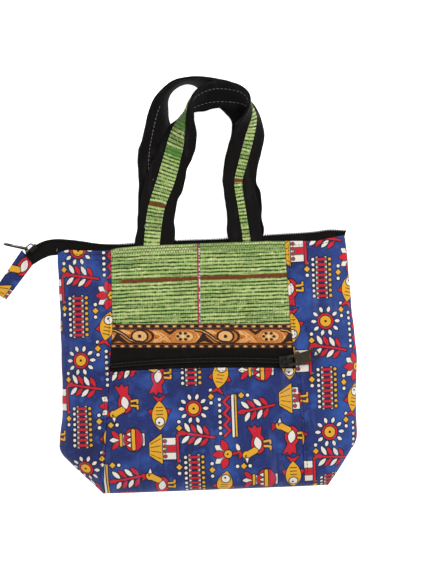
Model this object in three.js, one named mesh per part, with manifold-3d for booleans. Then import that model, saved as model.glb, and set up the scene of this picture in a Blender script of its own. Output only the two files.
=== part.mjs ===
// A small patchwork hand bag lying on its back with its front face up. Millimetres.
// X runs to the bag's right, Y towards the handles and Z up. The origin is the middle of
// the face that the back rests on.
import * as THREE from "three";
import { mergeVertices } from "three/addons/utils/BufferGeometryUtils.js";
import Module from "manifold-3d";

const wasm = await Module();
wasm.setup();

// Cloth and clearances
const CLOTH = 1.6;
const TAPE = 0.8;
const BAND = 2;
const INLAY = 0.8;
const GAP = 0.3;

// Body: heights above the floor and how far in from its seams each face is still rounding
const SEAM_HEIGHT = 8;
const BODY_RISE = 17;
const MOUTH_RISE = 6.5;
const SIDE_FALL = 0.25;
const FRONT_ROLL = 32;
const FRONT_FOOT_ROLL = 20;
const BACK_ROLL = 14;
const BOTTOM_Y = -116.5;
const MOUTH_Y = 118.4;
const MOUTH_SLOPE = -0.0073;
const SETTLED_FROM = 86;
const FULL_Y = 20;
const HALF_WIDTH = 140;
const CORNER_Y = -75;

// Side edges of the body, with the boxed corners folded flat at the foot
const OUTLINE = [
  { y: BOTTOM_Y, left: -103.5, right: 111.5 },
  { y: CORNER_Y, left: -144, right: 140 },
  { y: -40, left: -139.5, right: 141 },
  { y: 10, left: -138, right: 143 },
  { y: 60, left: -138, right: 139.5 },
  { y: 120, left: -138, right: 136.5 },
];

// Seams between the side panels and the middle of the front
const SEAMS = [
  { y: BOTTOM_Y, left: -101.8, right: 88 },
  { y: -45, left: -95.4, right: 86 },
  { y: 41, left: -86.8, right: 79.6 },
  { y: 120, left: -86.5, right: 78 },
];

// Sewn edge of the mouth, sunk at the open left corner and raised at the right one
const MOUTH_EDGE = [
  { x: -140, y: 112.8 },
  { x: -134, y: 114.8 },
  { x: -127, y: 116.2 },
  { x: -116, y: 115 },
  { x: -99, y: 114.2 },
  { x: -87, y: 114.4 },
  { x: -80, y: 115.8 },
  { x: -60, y: 117.1 },
  { x: 60, y: 117.2 },
  { x: 80, y: 116.4 },
  { x: 108, y: 115.4 },
  { x: 124, y: 118.4 },
  { x: 138, y: 120.6 },
];

// Soft folds of the front: place, direction from X, reach along and across, and height
const FOLDS = [
  { x: 96, y: 72, turn: 86, reach: 40, spread: 7, rise: 2.4 },
  { x: 119, y: 58, turn: 94, reach: 46, spread: 8, rise: 2 },
  { x: 108, y: 66, turn: 90, reach: 36, spread: 5, rise: -1.6 },
  { x: -112, y: -30, turn: 97, reach: 50, spread: 10, rise: 1.8 },
  { x: 62, y: -62, turn: 20, reach: 34, spread: 9, rise: -2 },
  { x: -40, y: -70, turn: 165, reach: 44, spread: 10, rise: 1.8 },
  { x: 100, y: -48, turn: 75, reach: 30, spread: 8, rise: 2 },
];

// Heights of the cross seams of the front at its left and right seam, and the rise of a bowed one between them
const CROSS_SEAMS = {
  mouth: { left: 119, right: 117.8 },
  wovenFoot: { left: 44.6, right: 38.2 },
  borderFoot: { left: 22.4, right: 15.6 },
  pocketTop: { left: 0.1, right: -3.3, rise: 2.3 },
  foot: { left: BOTTOM_Y, right: BOTTOM_Y },
};

// Zips
const COIL_WIDTH = 5.6;
const COIL_HEIGHT = 2.4;
const POCKET_TAPE_DROP = 0.5;
const POCKET_CHAIN = { left: 5.8, middle: 8, right: 3.2 };
const POCKET_COIL_END = 0.93;
const TOP_COIL_SPREAD = 2;
const TOP_TAPE_GAP = 0.6;
const FRONT_TAPE_TOP = 9.9;
const BACK_TAPE_FOOT = 4.4;
const TAPE_RIGHT_END = 131;
const TAIL_START = -126;
const TAIL_FULL = -140;

// Inner edge of the top chain and depth of its tapes, from its right end to the end of its tail
const TOP_CHAIN = [
  { x: 134, y: 122.7, z: 7.2, depth: 10.4 },
  { x: 121, y: 123.6, z: 7.2, depth: 10.4 },
  { x: 104, y: 122.1, z: 7.2, depth: 10.4 },
  { x: 60, y: 121, z: 7.2, depth: 10.4 },
  { x: 20, y: 119.2, z: 7.2, depth: 10.4 },
  { x: -20, y: 119.2, z: 7.2, depth: 10.4 },
  { x: -62, y: 117.9, z: 7.2, depth: 10.4 },
  { x: -88, y: 117.6, z: 7.2, depth: 10.4 },
  { x: -101, y: 118.7, z: 7.2, depth: 10.4 },
  { x: -115, y: 121.4, z: 7.2, depth: 10 },
  { x: -127, y: 123.2, z: 7.2, depth: 8 },
  { x: -139, y: 124.2, z: 7.2, depth: 8 },
  { x: -149, y: 122.9, z: 7.2, depth: 10.4 },
  { x: -158, y: 118.6, z: 7.2, depth: 10.4 },
  { x: -167, y: 110.8, z: 7.2, depth: 10.4 },
];

// Corners of the tab that is folded over the end of the zip
const TAB = {
  thick: 3,
  bulge: 0.8,
  near: { left: { x: -172.8, y: 116.9, z: 8 }, right: { x: -161.9, y: 103.7, z: 8 } },
  far: { left: { x: -201.6, y: 79.2, z: 3.6 }, right: { x: -189.3, y: 71, z: 3.6 } },
};

// Slider: a saddle over the chain with an arch on top that holds the pull
const SLIDER = {
  length: 13,
  noseHalf: 6,
  tailHalf: 5.2,
  plate: 1.3,
  flange: 1,
  archLength: 10,
  archRise: 3.8,
  archWall: 1.1,
  archWidth: 2.8,
  pivotAlong: 2,
  pivotRise: 1.35,
};
const SLIDER_BASE = COIL_HEIGHT + GAP + GAP;

// Pull: a plate with an eye round the arch and a ring at its far end
const PULL = {
  thick: 1.6,
  bar: 0.8,
  eyeHalf: 5,
  slotHalf: 2.7,
  slotEnd: 7.2,
  waistHalf: 4.8,
  waistAt: 14,
  ringAt: 23.8,
  ringOuter: 5.4,
  ringInner: 3.8,
};
const SHORT_PULL = { ...PULL, waistAt: 12, ringAt: 17.6, ringOuter: 5, ringInner: 3.5 };
const POCKET_SLIDER = { x: 74.3, turn: 4, pullTurn: 12, pullPitch: 3 };
const TOP_SLIDER = { back: 8, pullRaise: 56, lean: -14 };

// Handles: middle of the band, its width, how far its inner edge is rolled up, how far it
// curls across, and the edges of the woven strip measured from the middle
const FRONT_HANDLE = [
  { x: -45.5, y: 109, z: 11.3, width: 35, roll: 0, curl: 0, from: -9.7, to: 5.2 },
  { x: -45, y: 122, z: 11.4, width: 35, roll: 0, curl: 0, from: -9.7, to: 5.2 },
  { x: -40.5, y: 152, z: 9.5, width: 35, roll: 0, curl: 0, from: -9.3, to: 6.2 },
  { x: -32, y: 180, z: 10, width: 35, roll: 2, curl: 8, from: -7.7, to: 9 },
  { x: -22, y: 205, z: 15.3, width: 35, roll: 8, curl: 14, from: -9, to: 7.3 },
  { x: -15.5, y: 222, z: 21, width: 35, roll: 34, curl: 40, from: -9, to: 6.6 },
  { x: -10, y: 235.5, z: 23.2, width: 35, roll: 68, curl: 60, from: -8, to: 6.5 },
  { x: -2.5, y: 247.5, z: 23, width: 35, roll: 106, curl: 50, from: -7.5, to: 7.5 },
  { x: 12.5, y: 254.5, z: 22.5, width: 34, roll: 127, curl: 15, from: -7.4, to: 7.4 },
  { x: 29.5, y: 254.5, z: 22.5, width: 34, roll: 128, curl: 15, from: -7, to: 7 },
  { x: 44, y: 249.5, z: 24.5, width: 34, roll: 112, curl: 25, from: -5, to: 5 },
  { x: 50.3, y: 235.5, z: 22, width: 34, roll: 63, curl: 40, from: -4.5, to: 4 },
  { x: 46.8, y: 214, z: 14.5, width: 32, roll: 18, curl: 25, from: -4.5, to: 3.7 },
  { x: 40.3, y: 190, z: 10, width: 31, roll: 3, curl: 6, from: -4.3, to: 3.7 },
  { x: 37.3, y: 173, z: 9, width: 30, roll: 0, curl: 0, from: -2.8, to: 4.7 },
  { x: 39.3, y: 150, z: 9.5, width: 31, roll: 0, curl: 0, from: -2.8, to: 4.2 },
  { x: 41, y: 122, z: 11.4, width: 32, roll: 0, curl: 0, from: -4.4, to: 2.7 },
  { x: 41.3, y: 109, z: 11.3, width: 32, roll: 0, curl: 0, from: -4.4, to: 2.7 },
];
const REAR_HANDLE = [
  { x: -45, y: 109, z: 2.95, width: 35, roll: 0, curl: 0, from: -8, to: 8 },
  { x: -44.5, y: 122, z: 2.9, width: 35, roll: 0, curl: 0, from: -8, to: 8 },
  { x: -42.5, y: 150, z: 2.9, width: 35, roll: 0, curl: 0, from: -8, to: 8 },
  { x: -41.5, y: 178, z: 3, width: 35, roll: 0, curl: 0, from: -8, to: 8 },
  { x: -40, y: 202, z: 5.2, width: 35, roll: -8, curl: 4, from: -8, to: 8 },
  { x: -38.3, y: 221, z: 12.9, width: 35, roll: -42, curl: 30, from: -8, to: 8 },
  { x: -34.8, y: 241, z: 18.5, width: 35, roll: -63, curl: 50, from: -8, to: 8 },
  { x: -29, y: 257, z: 20.5, width: 35, roll: -82, curl: 42, from: -8, to: 8 },
  { x: -18, y: 266.8, z: 20.5, width: 35, roll: -92, curl: 22, from: -8, to: 8 },
  { x: -4, y: 269.6, z: 20, width: 35, roll: -92, curl: 14, from: -8, to: 8 },
  { x: 11, y: 265, z: 18, width: 33, roll: -72, curl: 10, from: -8, to: 8 },
  { x: 26, y: 257, z: 10.5, width: 30, roll: -35, curl: 0, from: -8, to: 8 },
  { x: 40, y: 245.5, z: 4.7, width: 27, roll: -8, curl: 0, from: -8, to: 8 },
  { x: 47, y: 228, z: 3.4, width: 30, roll: -2, curl: 0, from: -8, to: 8 },
  { x: 44.7, y: 207, z: 3, width: 32, roll: 0, curl: 0, from: -8, to: 8 },
  { x: 38.7, y: 180, z: 2.9, width: 33, roll: 0, curl: 0, from: -8, to: 8 },
  { x: 41, y: 150, z: 2.9, width: 34, roll: 0, curl: 0, from: -8, to: 8 },
  { x: 41.5, y: 122, z: 2.9, width: 34, roll: 0, curl: 0, from: -8, to: 8 },
  { x: 41.5, y: 109, z: 2.95, width: 34, roll: 0, curl: 0, from: -8, to: 8 },
];
const INLAY_START_ROW = 0.9;
const INLAY_GAP = 0.8;

// How many faces each wall is divided into
const FACES = {
  rim: 4,
  back: { rim: 3, across: 8, along: 8 },
  side: { across: 8, along: 14 },
  front: { across: 14, woven: 6, border: 2, pocket: 6 },
  pocketTape: 2,
  pocketCoil: 18,
  coilRound: 6,
  chainPerRow: 3,
  topTape: 3,
  tab: { across: 4, along: 8 },
  handle: { band: 6, inlay: 3, perRow: 3 },
};

// Finishes
const finish = (color, roughness, metalness = 0) =>
  new THREE.MeshStandardMaterial({ color, roughness, metalness });
const PRINT = finish(0x2f4688, 0.85);
const WOVEN = finish(0x96b364, 0.9);
const BORDER = finish(0xb98a4c, 0.88);
const BLACK_CLOTH = finish(0x181614, 0.85);
const ZIP_TAPE = finish(0x121110, 0.8);
const COIL_PLASTIC = finish(0x0c0c0c, 0.35);
const ZIP_METAL = finish(0x3b372c, 0.45, 0.6);

// Number helpers
const lerp = THREE.MathUtils.lerp;
const radians = THREE.MathUtils.degToRad;
const clamp01 = (value) => THREE.MathUtils.clamp(value, 0, 1);
const smooth = (value) => THREE.MathUtils.smoothstep(value, 0, 1);

// Value of one column of a table at a place in another one, in straight lines between its rows
function columnAt(table, key, place, by = "y") {
  const next = table.findIndex((row) => row[by] >= place);
  const high = next < 0 ? table.length - 1 : Math.max(next, 1);
  const [a, b] = [table[high - 1], table[high]];
  return lerp(a[key], b[key], (place - a[by]) / (b[by] - a[by]));
}

// Value of one column of a table at a row number with a fraction, on a smooth curve
function splineAt(table, key, row) {
  const last = table.length - 1;
  const start = Math.min(Math.floor(row), last - 1);
  const t = row - start;
  const value = (index) => table[THREE.MathUtils.clamp(index, 0, last)][key];
  const [a, b, c, d] = [-1, 0, 1, 2].map((step) => value(start + step));
  return b + 0.5 * t * (c - a + t * (2 * a - 5 * b + 4 * c - d + t * (3 * (b - c) + d - a)));
}

// Steps from 0 to 1 that crowd together, as on a quarter circle, in a rounding at an end
function rimSteps(startShare, endShare, rimCount, plainCount) {
  const rim = Array.from({ length: rimCount }, (_, k) => 1 - Math.cos((k / rimCount) * (Math.PI / 2)));
  const head = startShare ? rim.map((r) => r * startShare) : [];
  const tail = endShare ? rim.map((r) => 1 - r * endShare).reverse() : [];
  const plain = Array.from({ length: plainCount + 1 }, (_, k) =>
    lerp(startShare, 1 - endShare, k / plainCount),
  );
  return [...head, ...plain, ...tail];
}

const evenSteps = (count) => Array.from({ length: count + 1 }, (_, k) => k / count);

// Geometry from points and triangles, turned so that its faces point out
function closedGeometry(points, triangles) {
  const volume = triangles.reduce((sum, [a, b, c]) => {
    const cross = new THREE.Vector3().crossVectors(points[b], points[c]);
    return sum + points[a].dot(cross);
  }, 0);
  const index = triangles.flatMap(([a, b, c]) => (volume < 0 ? [a, c, b] : [a, b, c]));
  const geometry = new THREE.BufferGeometry().setFromPoints(points);
  geometry.setIndex(index);
  geometry.computeVertexNormals();
  return geometry;
}

// Keeps the inner face of a body wall on its own side of the seam's level, inside its rim
function keepLevel(inner, outer, thickness, level) {
  const beyond = level.hand * (inner.z - level.z) < 0;
  if (beyond) inner.z = level.z;
  if (beyond && inner.distanceTo(outer) < thickness / 2) {
    const inward = new THREE.Vector3(-outer.x, -outer.y, 0).normalize();
    inner.addScaledVector(inward, thickness);
  }
}

// A wall over a surface: its outer face lies lift above the surface and it is thickness deep
function wall(acrossSteps, alongSteps, surfaceAt, thickness, { lift = 0, side = 1, level } = {}) {
  const inset = 0.0003;
  const nudge = 0.0002;
  const normalAt = (u, v) => {
    const [a, b] = [THREE.MathUtils.clamp(u, inset, 1 - inset), THREE.MathUtils.clamp(v, inset, 1 - inset)];
    const across = surfaceAt(a + nudge, b).sub(surfaceAt(a - nudge, b));
    const along = surfaceAt(a, b + nudge).sub(surfaceAt(a, b - nudge));
    return across.cross(along).normalize().multiplyScalar(side);
  };
  const rows = alongSteps.length;
  const outer = [];
  const inner = [];
  for (const u of acrossSteps)
    for (const v of alongSteps) {
      const normal = normalAt(u, v);
      const face = surfaceAt(u, v).addScaledVector(normal, lift);
      const lining = surfaceAt(u, v).addScaledVector(normal, lift - thickness);
      if (level) keepLevel(lining, face, thickness, level);
      outer.push(face);
      inner.push(lining);
    }
  const below = outer.length;
  const at = (i, j) => i * rows + j;
  const triangles = [];
  const quad = (a, b, c, d) => triangles.push([a, b, c], [a, c, d]);
  const [lastU, lastV] = [acrossSteps.length - 1, rows - 1];
  for (let i = 0; i < lastU; i++)
    for (let j = 0; j < lastV; j++) {
      const [a, b, c, d] = [at(i, j), at(i + 1, j), at(i + 1, j + 1), at(i, j + 1)];
      quad(a, b, c, d);
      quad(below + d, below + c, below + b, below + a);
    }
  for (let i = 0; i < lastU; i++) {
    quad(at(i + 1, 0), at(i, 0), below + at(i, 0), below + at(i + 1, 0));
    quad(at(i, lastV), at(i + 1, lastV), below + at(i + 1, lastV), below + at(i, lastV));
  }
  for (let j = 0; j < lastV; j++) {
    quad(at(0, j), at(0, j + 1), below + at(0, j + 1), below + at(0, j));
    quad(at(lastU, j + 1), at(lastU, j), below + at(lastU, j), below + at(lastU, j + 1));
  }
  return closedGeometry([...outer, ...inner], triangles);
}

// A bar with a half round section along stations of a foot point, a side and an outward way
function halfRoundBar(stations, width, height) {
  const sides = FACES.coilRound;
  const section = evenSteps(sides).map((k) => ({
    side: (width / 2) * Math.cos(k * Math.PI),
    out: height * Math.sin(k * Math.PI),
  }));
  const points = stations.flatMap(({ foot, across, out }) =>
    section.map((corner) =>
      foot.clone().addScaledVector(across, corner.side).addScaledVector(out, corner.out),
    ),
  );
  const ring = section.length;
  const triangles = [];
  for (let k = 0; k + 1 < stations.length; k++)
    for (let c = 0; c < ring; c++) {
      const [a, b] = [k * ring + c, k * ring + ((c + 1) % ring)];
      triangles.push([a, b, b + ring], [a, b + ring, a + ring]);
    }
  const end = (stations.length - 1) * ring;
  for (let c = 1; c + 1 < ring; c++) triangles.push([0, c + 1, c], [end, end + c, end + c + 1]);
  return closedGeometry(points, triangles);
}

// Boolean join of closed geometries
function joined(geometries) {
  const solids = geometries.map((geometry) => {
    const bare = geometry.clone();
    bare.deleteAttribute("normal");
    bare.deleteAttribute("uv");
    const merged = mergeVertices(bare, 1e-4);
    const mesh = new wasm.Mesh({
      numProp: 3,
      vertProperties: merged.getAttribute("position").array,
      triVerts: new Uint32Array(merged.index.array),
    });
    return new wasm.Manifold(mesh);
  });
  const { vertProperties, triVerts } = solids.reduce((a, b) => a.add(b)).getMesh();
  const geometry = new THREE.BufferGeometry();
  geometry.setAttribute("position", new THREE.BufferAttribute(vertProperties, 3));
  geometry.setIndex(new THREE.BufferAttribute(triVerts, 1));
  geometry.computeVertexNormals();
  return geometry;
}

const plate = (shape, depth) =>
  new THREE.ExtrudeGeometry(shape, { depth, bevelEnabled: false, curveSegments: 8 });

// Rise of the soft folds at a place on the front
function foldRise(x, y) {
  return FOLDS.reduce((sum, fold) => {
    const [c, s] = [Math.cos(radians(fold.turn)), Math.sin(radians(fold.turn))];
    const along = ((x - fold.x) * c + (y - fold.y) * s) / fold.reach;
    const aside = ((y - fold.y) * c - (x - fold.x) * s) / fold.spread;
    return sum + fold.rise * Math.exp(-along * along - aside * aside);
  }, 0);
}

// Share of the full height that a rounding reaches at a distance in from its edge
const rounding = (distance, radius) => Math.sqrt(1 - (1 - clamp01(distance / radius)) ** 2);

function edgeRounding(x, y, sideRoll, footRoll) {
  const left = rounding(x - columnAt(OUTLINE, "left", y), sideRoll);
  const right = rounding(columnAt(OUTLINE, "right", y) - x, sideRoll);
  return left * right * rounding(y - BOTTOM_Y, footRoll);
}

// Height of the front's outer face
function frontHeight(x, y) {
  const towardsMouth = smooth((y - FULL_Y) / (MOUTH_Y - FULL_Y));
  const fall = 1 - SIDE_FALL * (x / HALF_WIDTH) ** 2;
  const rise = lerp(BODY_RISE, MOUTH_RISE, towardsMouth) * fall + foldRise(x, y);
  return SEAM_HEIGHT + rise * edgeRounding(x, y, FRONT_ROLL, FRONT_FOOT_ROLL);
}

// Height of the back's outer face: flat on the floor and turned up at its seams
function backHeight(x, y) {
  return (SEAM_HEIGHT - GAP) * (1 - edgeRounding(x, y, BACK_ROLL, BACK_ROLL));
}

const FRONT_LEVEL = { z: SEAM_HEIGHT, hand: 1 };
const straightMouthY = (x) => MOUTH_Y + MOUTH_SLOPE * x;
const mouthY = (x) => columnAt(MOUTH_EDGE, "y", x, "x");
const bodyLength = MOUTH_Y - BOTTOM_Y;

// Where cloth that was cut to a straight mouth has settled to near the mouth
function settledY(x, y) {
  const share = smooth((y - SETTLED_FROM) / (MOUTH_Y - SETTLED_FROM));
  return y + share * (mouthY(x) - straightMouthY(x));
}

// Steps up the body: close together at its rounded foot, with one at the folded corners
function bodySteps(footRoll, plainCount) {
  const steps = rimSteps(footRoll / bodyLength, 0, FACES.rim, plainCount);
  return [...steps, (CORNER_Y - BOTTOM_Y) / bodyLength].sort((a, b) => a - b);
}

// A place between two side lines of the body, at a share of its length
function bodyPlace(lineA, lineB, u, v) {
  const level = BOTTOM_Y + v * bodyLength;
  const x = lerp(lineA(level), lineB(level), u);
  return { x, y: settledY(x, BOTTOM_Y + v * (straightMouthY(x) - BOTTOM_Y)) };
}

const leftEdge = (y) => columnAt(OUTLINE, "left", y);
const rightEdge = (y) => columnAt(OUTLINE, "right", y);
const leftSeam = (y) => columnAt(SEAMS, "left", y);
const rightSeam = (y) => columnAt(SEAMS, "right", y);

function backPanel() {
  const share = BACK_ROLL / (2 * HALF_WIDTH);
  const surface = (u, v) => {
    const { x, y } = bodyPlace(leftEdge, rightEdge, u, v);
    return new THREE.Vector3(x, y, backHeight(x, y));
  };
  const level = { z: SEAM_HEIGHT - GAP, hand: -1 };
  const across = rimSteps(share, share, FACES.back.rim, FACES.back.across);
  return wall(across, bodySteps(BACK_ROLL, FACES.back.along), surface, CLOTH, { side: -1, level });
}

function sidePanel(edge, seam, hand) {
  const inner = (y) => seam(y) + (hand * GAP) / 2;
  const surface = (u, v) => {
    const { x, y } = bodyPlace(edge, inner, u, v);
    return new THREE.Vector3(x, y, frontHeight(x, y));
  };
  const across = rimSteps(1, 0, FACES.side.across, 1).slice(0, -1);
  const along = bodySteps(FRONT_FOOT_ROLL, FACES.side.along);
  return wall(across, along, surface, CLOTH, { side: -hand, level: FRONT_LEVEL });
}

// Height of a cross seam at a share of its length
function crossSeamY(seam, u) {
  return lerp(seam.left, seam.right, u) + (seam.rise ?? 0) * 4 * u * (1 - u);
}

// A place on the middle of the front, between two cross seams
function middlePlace(low, high, u, v) {
  const y = lerp(crossSeamY(low, u), crossSeamY(high, u), v);
  const x = lerp(leftSeam(y) + GAP / 2, rightSeam(y) - GAP / 2, u);
  return { x, y: settledY(x, y) };
}

function middlePanel(low, high, alongSteps) {
  const gap = GAP / 2;
  const [foot, head] = [
    low === CROSS_SEAMS.foot ? low : { ...low, left: low.left + gap, right: low.right + gap },
    high === CROSS_SEAMS.mouth ? high : { ...high, left: high.left - gap, right: high.right - gap },
  ];
  const surface = (u, v) => {
    const { x, y } = middlePlace(foot, head, u, v);
    return new THREE.Vector3(x, y, frontHeight(x, y));
  };
  return wall(evenSteps(FACES.front.across), alongSteps, surface, CLOTH, { level: FRONT_LEVEL });
}

// Height of the pocket chain's middle line across the front
function pocketChainY(u) {
  const ends = lerp(POCKET_CHAIN.left, POCKET_CHAIN.right, u);
  const sag = POCKET_CHAIN.middle - lerp(POCKET_CHAIN.left, POCKET_CHAIN.right, 0.5);
  return ends + sag * 4 * u * (1 - u);
}

function pocketTape(edge, hand) {
  const surface = (u, v) => {
    const seam = crossSeamY(edge, u) - hand * GAP;
    const y = lerp(pocketChainY(u) + (hand * GAP) / 2, seam, v);
    const x = lerp(leftSeam(y) + GAP, rightSeam(y) - GAP, u);
    return new THREE.Vector3(x, y, frontHeight(x, y) - POCKET_TAPE_DROP);
  };
  return wall(evenSteps(FACES.front.across), evenSteps(FACES.pocketTape), surface, TAPE, { side: hand });
}

// Top of the pocket tape under the chain, at a share of the pocket's width
function pocketChainFoot(u) {
  const y = pocketChainY(u);
  const x = lerp(leftSeam(y), rightSeam(y), u);
  return new THREE.Vector3(x, y, frontHeight(x, y) - POCKET_TAPE_DROP + GAP);
}

function pocketCoil() {
  const start = 0.006;
  const stations = evenSteps(FACES.pocketCoil).map((k) => ({
    foot: pocketChainFoot(lerp(start, POCKET_COIL_END, k)),
    across: new THREE.Vector3(0, 1, 0),
    out: new THREE.Vector3(0, 0, 1),
  }));
  return halfRoundBar(stations, COIL_WIDTH, COIL_HEIGHT);
}

// Place, heading and outward way of the top chain at a row number of its table
function topChainAt(row) {
  const point = (r) => new THREE.Vector3(...["x", "y", "z"].map((key) => splineAt(TOP_CHAIN, key, r)));
  const last = TOP_CHAIN.length - 1;
  const step = 0.01;
  const [a, b] = [point(Math.max(row - step, 0)), point(Math.min(row + step, last))];
  const heading = b.sub(a).normalize();
  const up = new THREE.Vector3(0, 0, 1);
  return { foot: point(row), heading, across: up, out: heading.clone().cross(up) };
}

function topCoil() {
  const last = TOP_CHAIN.length - 1;
  const stations = evenSteps(FACES.chainPerRow * last).map((k) => topChainAt(k * last));
  return halfRoundBar(stations, COIL_WIDTH, COIL_HEIGHT);
}

// One tape of the top zip: in the bag it lies inside the mouth, on the tail it lies folded flat
function topTape(hand) {
  const last = TOP_CHAIN.length - 1;
  const firstRow = (TOP_CHAIN[0].x - TAPE_RIGHT_END) / (TOP_CHAIN[0].x - TOP_CHAIN[1].x);
  const surface = (u, v) => {
    const row = lerp(firstRow, last, v);
    const { foot, out } = topChainAt(row);
    const place = foot.clone().addScaledVector(out, -TOP_TAPE_GAP - u * splineAt(TOP_CHAIN, "depth", row));
    const roomAbove = frontHeight(place.x, Math.min(place.y, mouthY(place.x))) - 2 * CLOTH;
    const inside = hand > 0 ? Math.min(FRONT_TAPE_TOP, roomAbove) : BACK_TAPE_FOOT;
    const folded = foot.z + hand * (TAPE + GAP);
    const onTail = smooth((TAIL_START - place.x) / (TAIL_START - TAIL_FULL));
    const far = lerp(inside, folded, onTail);
    place.z = lerp(foot.z + hand * TOP_COIL_SPREAD, far, u);
    return place;
  };
  const along = evenSteps(FACES.chainPerRow * last);
  return wall(evenSteps(FACES.topTape), along, surface, TAPE, { side: -hand });
}

function endTab() {
  const corner = ({ x, y, z }) => new THREE.Vector3(x, y, z);
  const [nearLeft, nearRight] = [corner(TAB.near.left), corner(TAB.near.right)];
  const [farLeft, farRight] = [corner(TAB.far.left), corner(TAB.far.right)];
  const surface = (u, v) => {
    const near = nearLeft.clone().lerp(nearRight, u);
    const place = near.lerp(farLeft.clone().lerp(farRight, u), v);
    place.z += TAB.bulge * Math.sin(Math.PI * u) * Math.sin(Math.PI * v);
    return place;
  };
  const { across, along } = FACES.tab;
  return wall(evenSteps(across), evenSteps(along), surface, TAB.thick, { side: -1 });
}

// Slider in its own frame: X along the chain, Y across it, Z out from the tape under it
function sliderGeometry() {
  const { length, noseHalf, tailHalf, plate: deck, flange } = SLIDER;
  const outline = new THREE.Shape();
  outline.moveTo(-length / 2, -tailHalf);
  outline.lineTo(length * 0.1, -tailHalf);
  outline.quadraticCurveTo(length * 0.3, -noseHalf, length * 0.42, -noseHalf);
  outline.quadraticCurveTo(length / 2, 0, length * 0.42, noseHalf);
  outline.quadraticCurveTo(length * 0.3, noseHalf, length * 0.1, tailHalf);
  outline.lineTo(-length / 2, tailHalf);
  const deckSolid = plate(outline, deck).translate(0, 0, SLIDER_BASE);
  const wallTop = SLIDER_BASE + deck / 2;
  const flanges = [-1, 1].map((hand) =>
    new THREE.BoxGeometry(length * 0.6, flange, wallTop - GAP).translate(
      -length * 0.2,
      hand * (tailHalf - flange / 2),
      (wallTop + GAP) / 2,
    ),
  );
  const { archLength, archRise, archWall, archWidth } = SLIDER;
  const half = archLength / 2;
  const arch = new THREE.Shape();
  arch.moveTo(-half, 0);
  arch.quadraticCurveTo(-half, archRise, -half * 0.4, archRise);
  arch.lineTo(half * 0.4, archRise);
  arch.quadraticCurveTo(half, archRise, half, 0);
  arch.lineTo(half - archWall, 0);
  arch.quadraticCurveTo(half - archWall, archRise - archWall, half * 0.4, archRise - archWall);
  arch.lineTo(-half * 0.4, archRise - archWall);
  arch.quadraticCurveTo(archWall - half, archRise - archWall, archWall - half, 0);
  const archSolid = plate(arch, archWidth)
    .translate(0, 0, -archWidth / 2)
    .rotateX(Math.PI / 2)
    .translate(0, 0, SLIDER_BASE + deck - GAP / 2);
  return joined([deckSolid, ...flanges, archSolid]);
}

// Pull in its own frame: it turns about Y at the origin and reaches along X
function pullGeometry(shape) {
  const { thick, bar, eyeHalf, slotHalf, slotEnd, waistHalf, waistAt, ringAt, ringOuter, ringInner } = shape;
  const outline = new THREE.Shape();
  outline.moveTo(-bar, -eyeHalf + bar);
  outline.lineTo(0, -eyeHalf);
  outline.lineTo(slotEnd, -eyeHalf);
  outline.quadraticCurveTo(waistAt, -waistHalf, ringAt, -ringOuter);
  outline.absarc(ringAt, 0, ringOuter, -Math.PI / 2, Math.PI / 2, false);
  outline.quadraticCurveTo(waistAt, waistHalf, slotEnd, eyeHalf);
  outline.lineTo(0, eyeHalf);
  outline.lineTo(-bar, eyeHalf - bar);
  const slot = new THREE.Path();
  slot.moveTo(bar, -slotHalf);
  slot.lineTo(slotEnd, -slotHalf);
  slot.lineTo(slotEnd, slotHalf);
  slot.lineTo(bar, slotHalf);
  const hole = new THREE.Path();
  hole.absarc(ringAt, 0, ringInner, 0, 2 * Math.PI, true);
  outline.holes.push(slot, hole);
  return plate(outline, thick).translate(0, 0, -thick / 2);
}

// Surface of a handle: across from its outer to its inner edge, along from left to right
function handleSurface(rows, edgeFrom, edgeTo) {
  const last = rows.length - 1;
  const middle = (row) => new THREE.Vector3(...["x", "y", "z"].map((key) => splineAt(rows, key, row)));
  return (u, v) => {
    const row = v * last;
    const step = 0.02;
    const heading = middle(Math.min(row + step, last)).sub(middle(Math.max(row - step, 0))).normalize();
    const right = heading.clone().cross(new THREE.Vector3(0, 0, 1)).normalize();
    const up = right.clone().cross(heading);
    const roll = radians(splineAt(rows, "roll", row));
    const across = right.clone().multiplyScalar(Math.cos(roll)).addScaledVector(up, Math.sin(roll));
    const face = up.clone().multiplyScalar(Math.cos(roll)).addScaledVector(right, -Math.sin(roll));
    const width = splineAt(rows, "width", row);
    const curl = Math.max(radians(splineAt(rows, "curl", row)), 1e-3);
    const radius = width / curl;
    const offset = lerp(edgeFrom(row, width), edgeTo(row, width), u);
    const angle = offset / radius;
    const crest = (radius * (1 - Math.cos(curl / 2))) / 2;
    return middle(row)
      .addScaledVector(across, radius * Math.sin(angle))
      .addScaledVector(face, crest - radius * (1 - Math.cos(angle)));
  };
}

const handleSteps = (rows) => evenSteps((rows.length - 1) * FACES.handle.perRow);

function handleBand(rows, side) {
  const surface = handleSurface(rows, (_, width) => -width / 2, (_, width) => width / 2);
  const across = evenSteps(FACES.handle.band);
  return wall(across, handleSteps(rows), surface, BAND, { lift: BAND / 2, side });
}

function handleInlay(rows, side) {
  const surface = handleSurface(
    rows,
    (row) => splineAt(rows, "from", row),
    (row) => splineAt(rows, "to", row),
  );
  const start = INLAY_START_ROW / (rows.length - 1);
  const between = handleSteps(rows).filter((v) => v > start && v < 1 - start);
  const steps = [start, ...between, 1 - start];
  const lift = BAND / 2 + INLAY_GAP + INLAY;
  return wall(evenSteps(FACES.handle.inlay), steps, surface, INLAY, { lift, side });
}

// Assembly
const bag = new THREE.Group();

function add(parent, name, geometry, material) {
  const mesh = new THREE.Mesh(geometry, material);
  mesh.name = name;
  parent.add(mesh);
}

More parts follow.
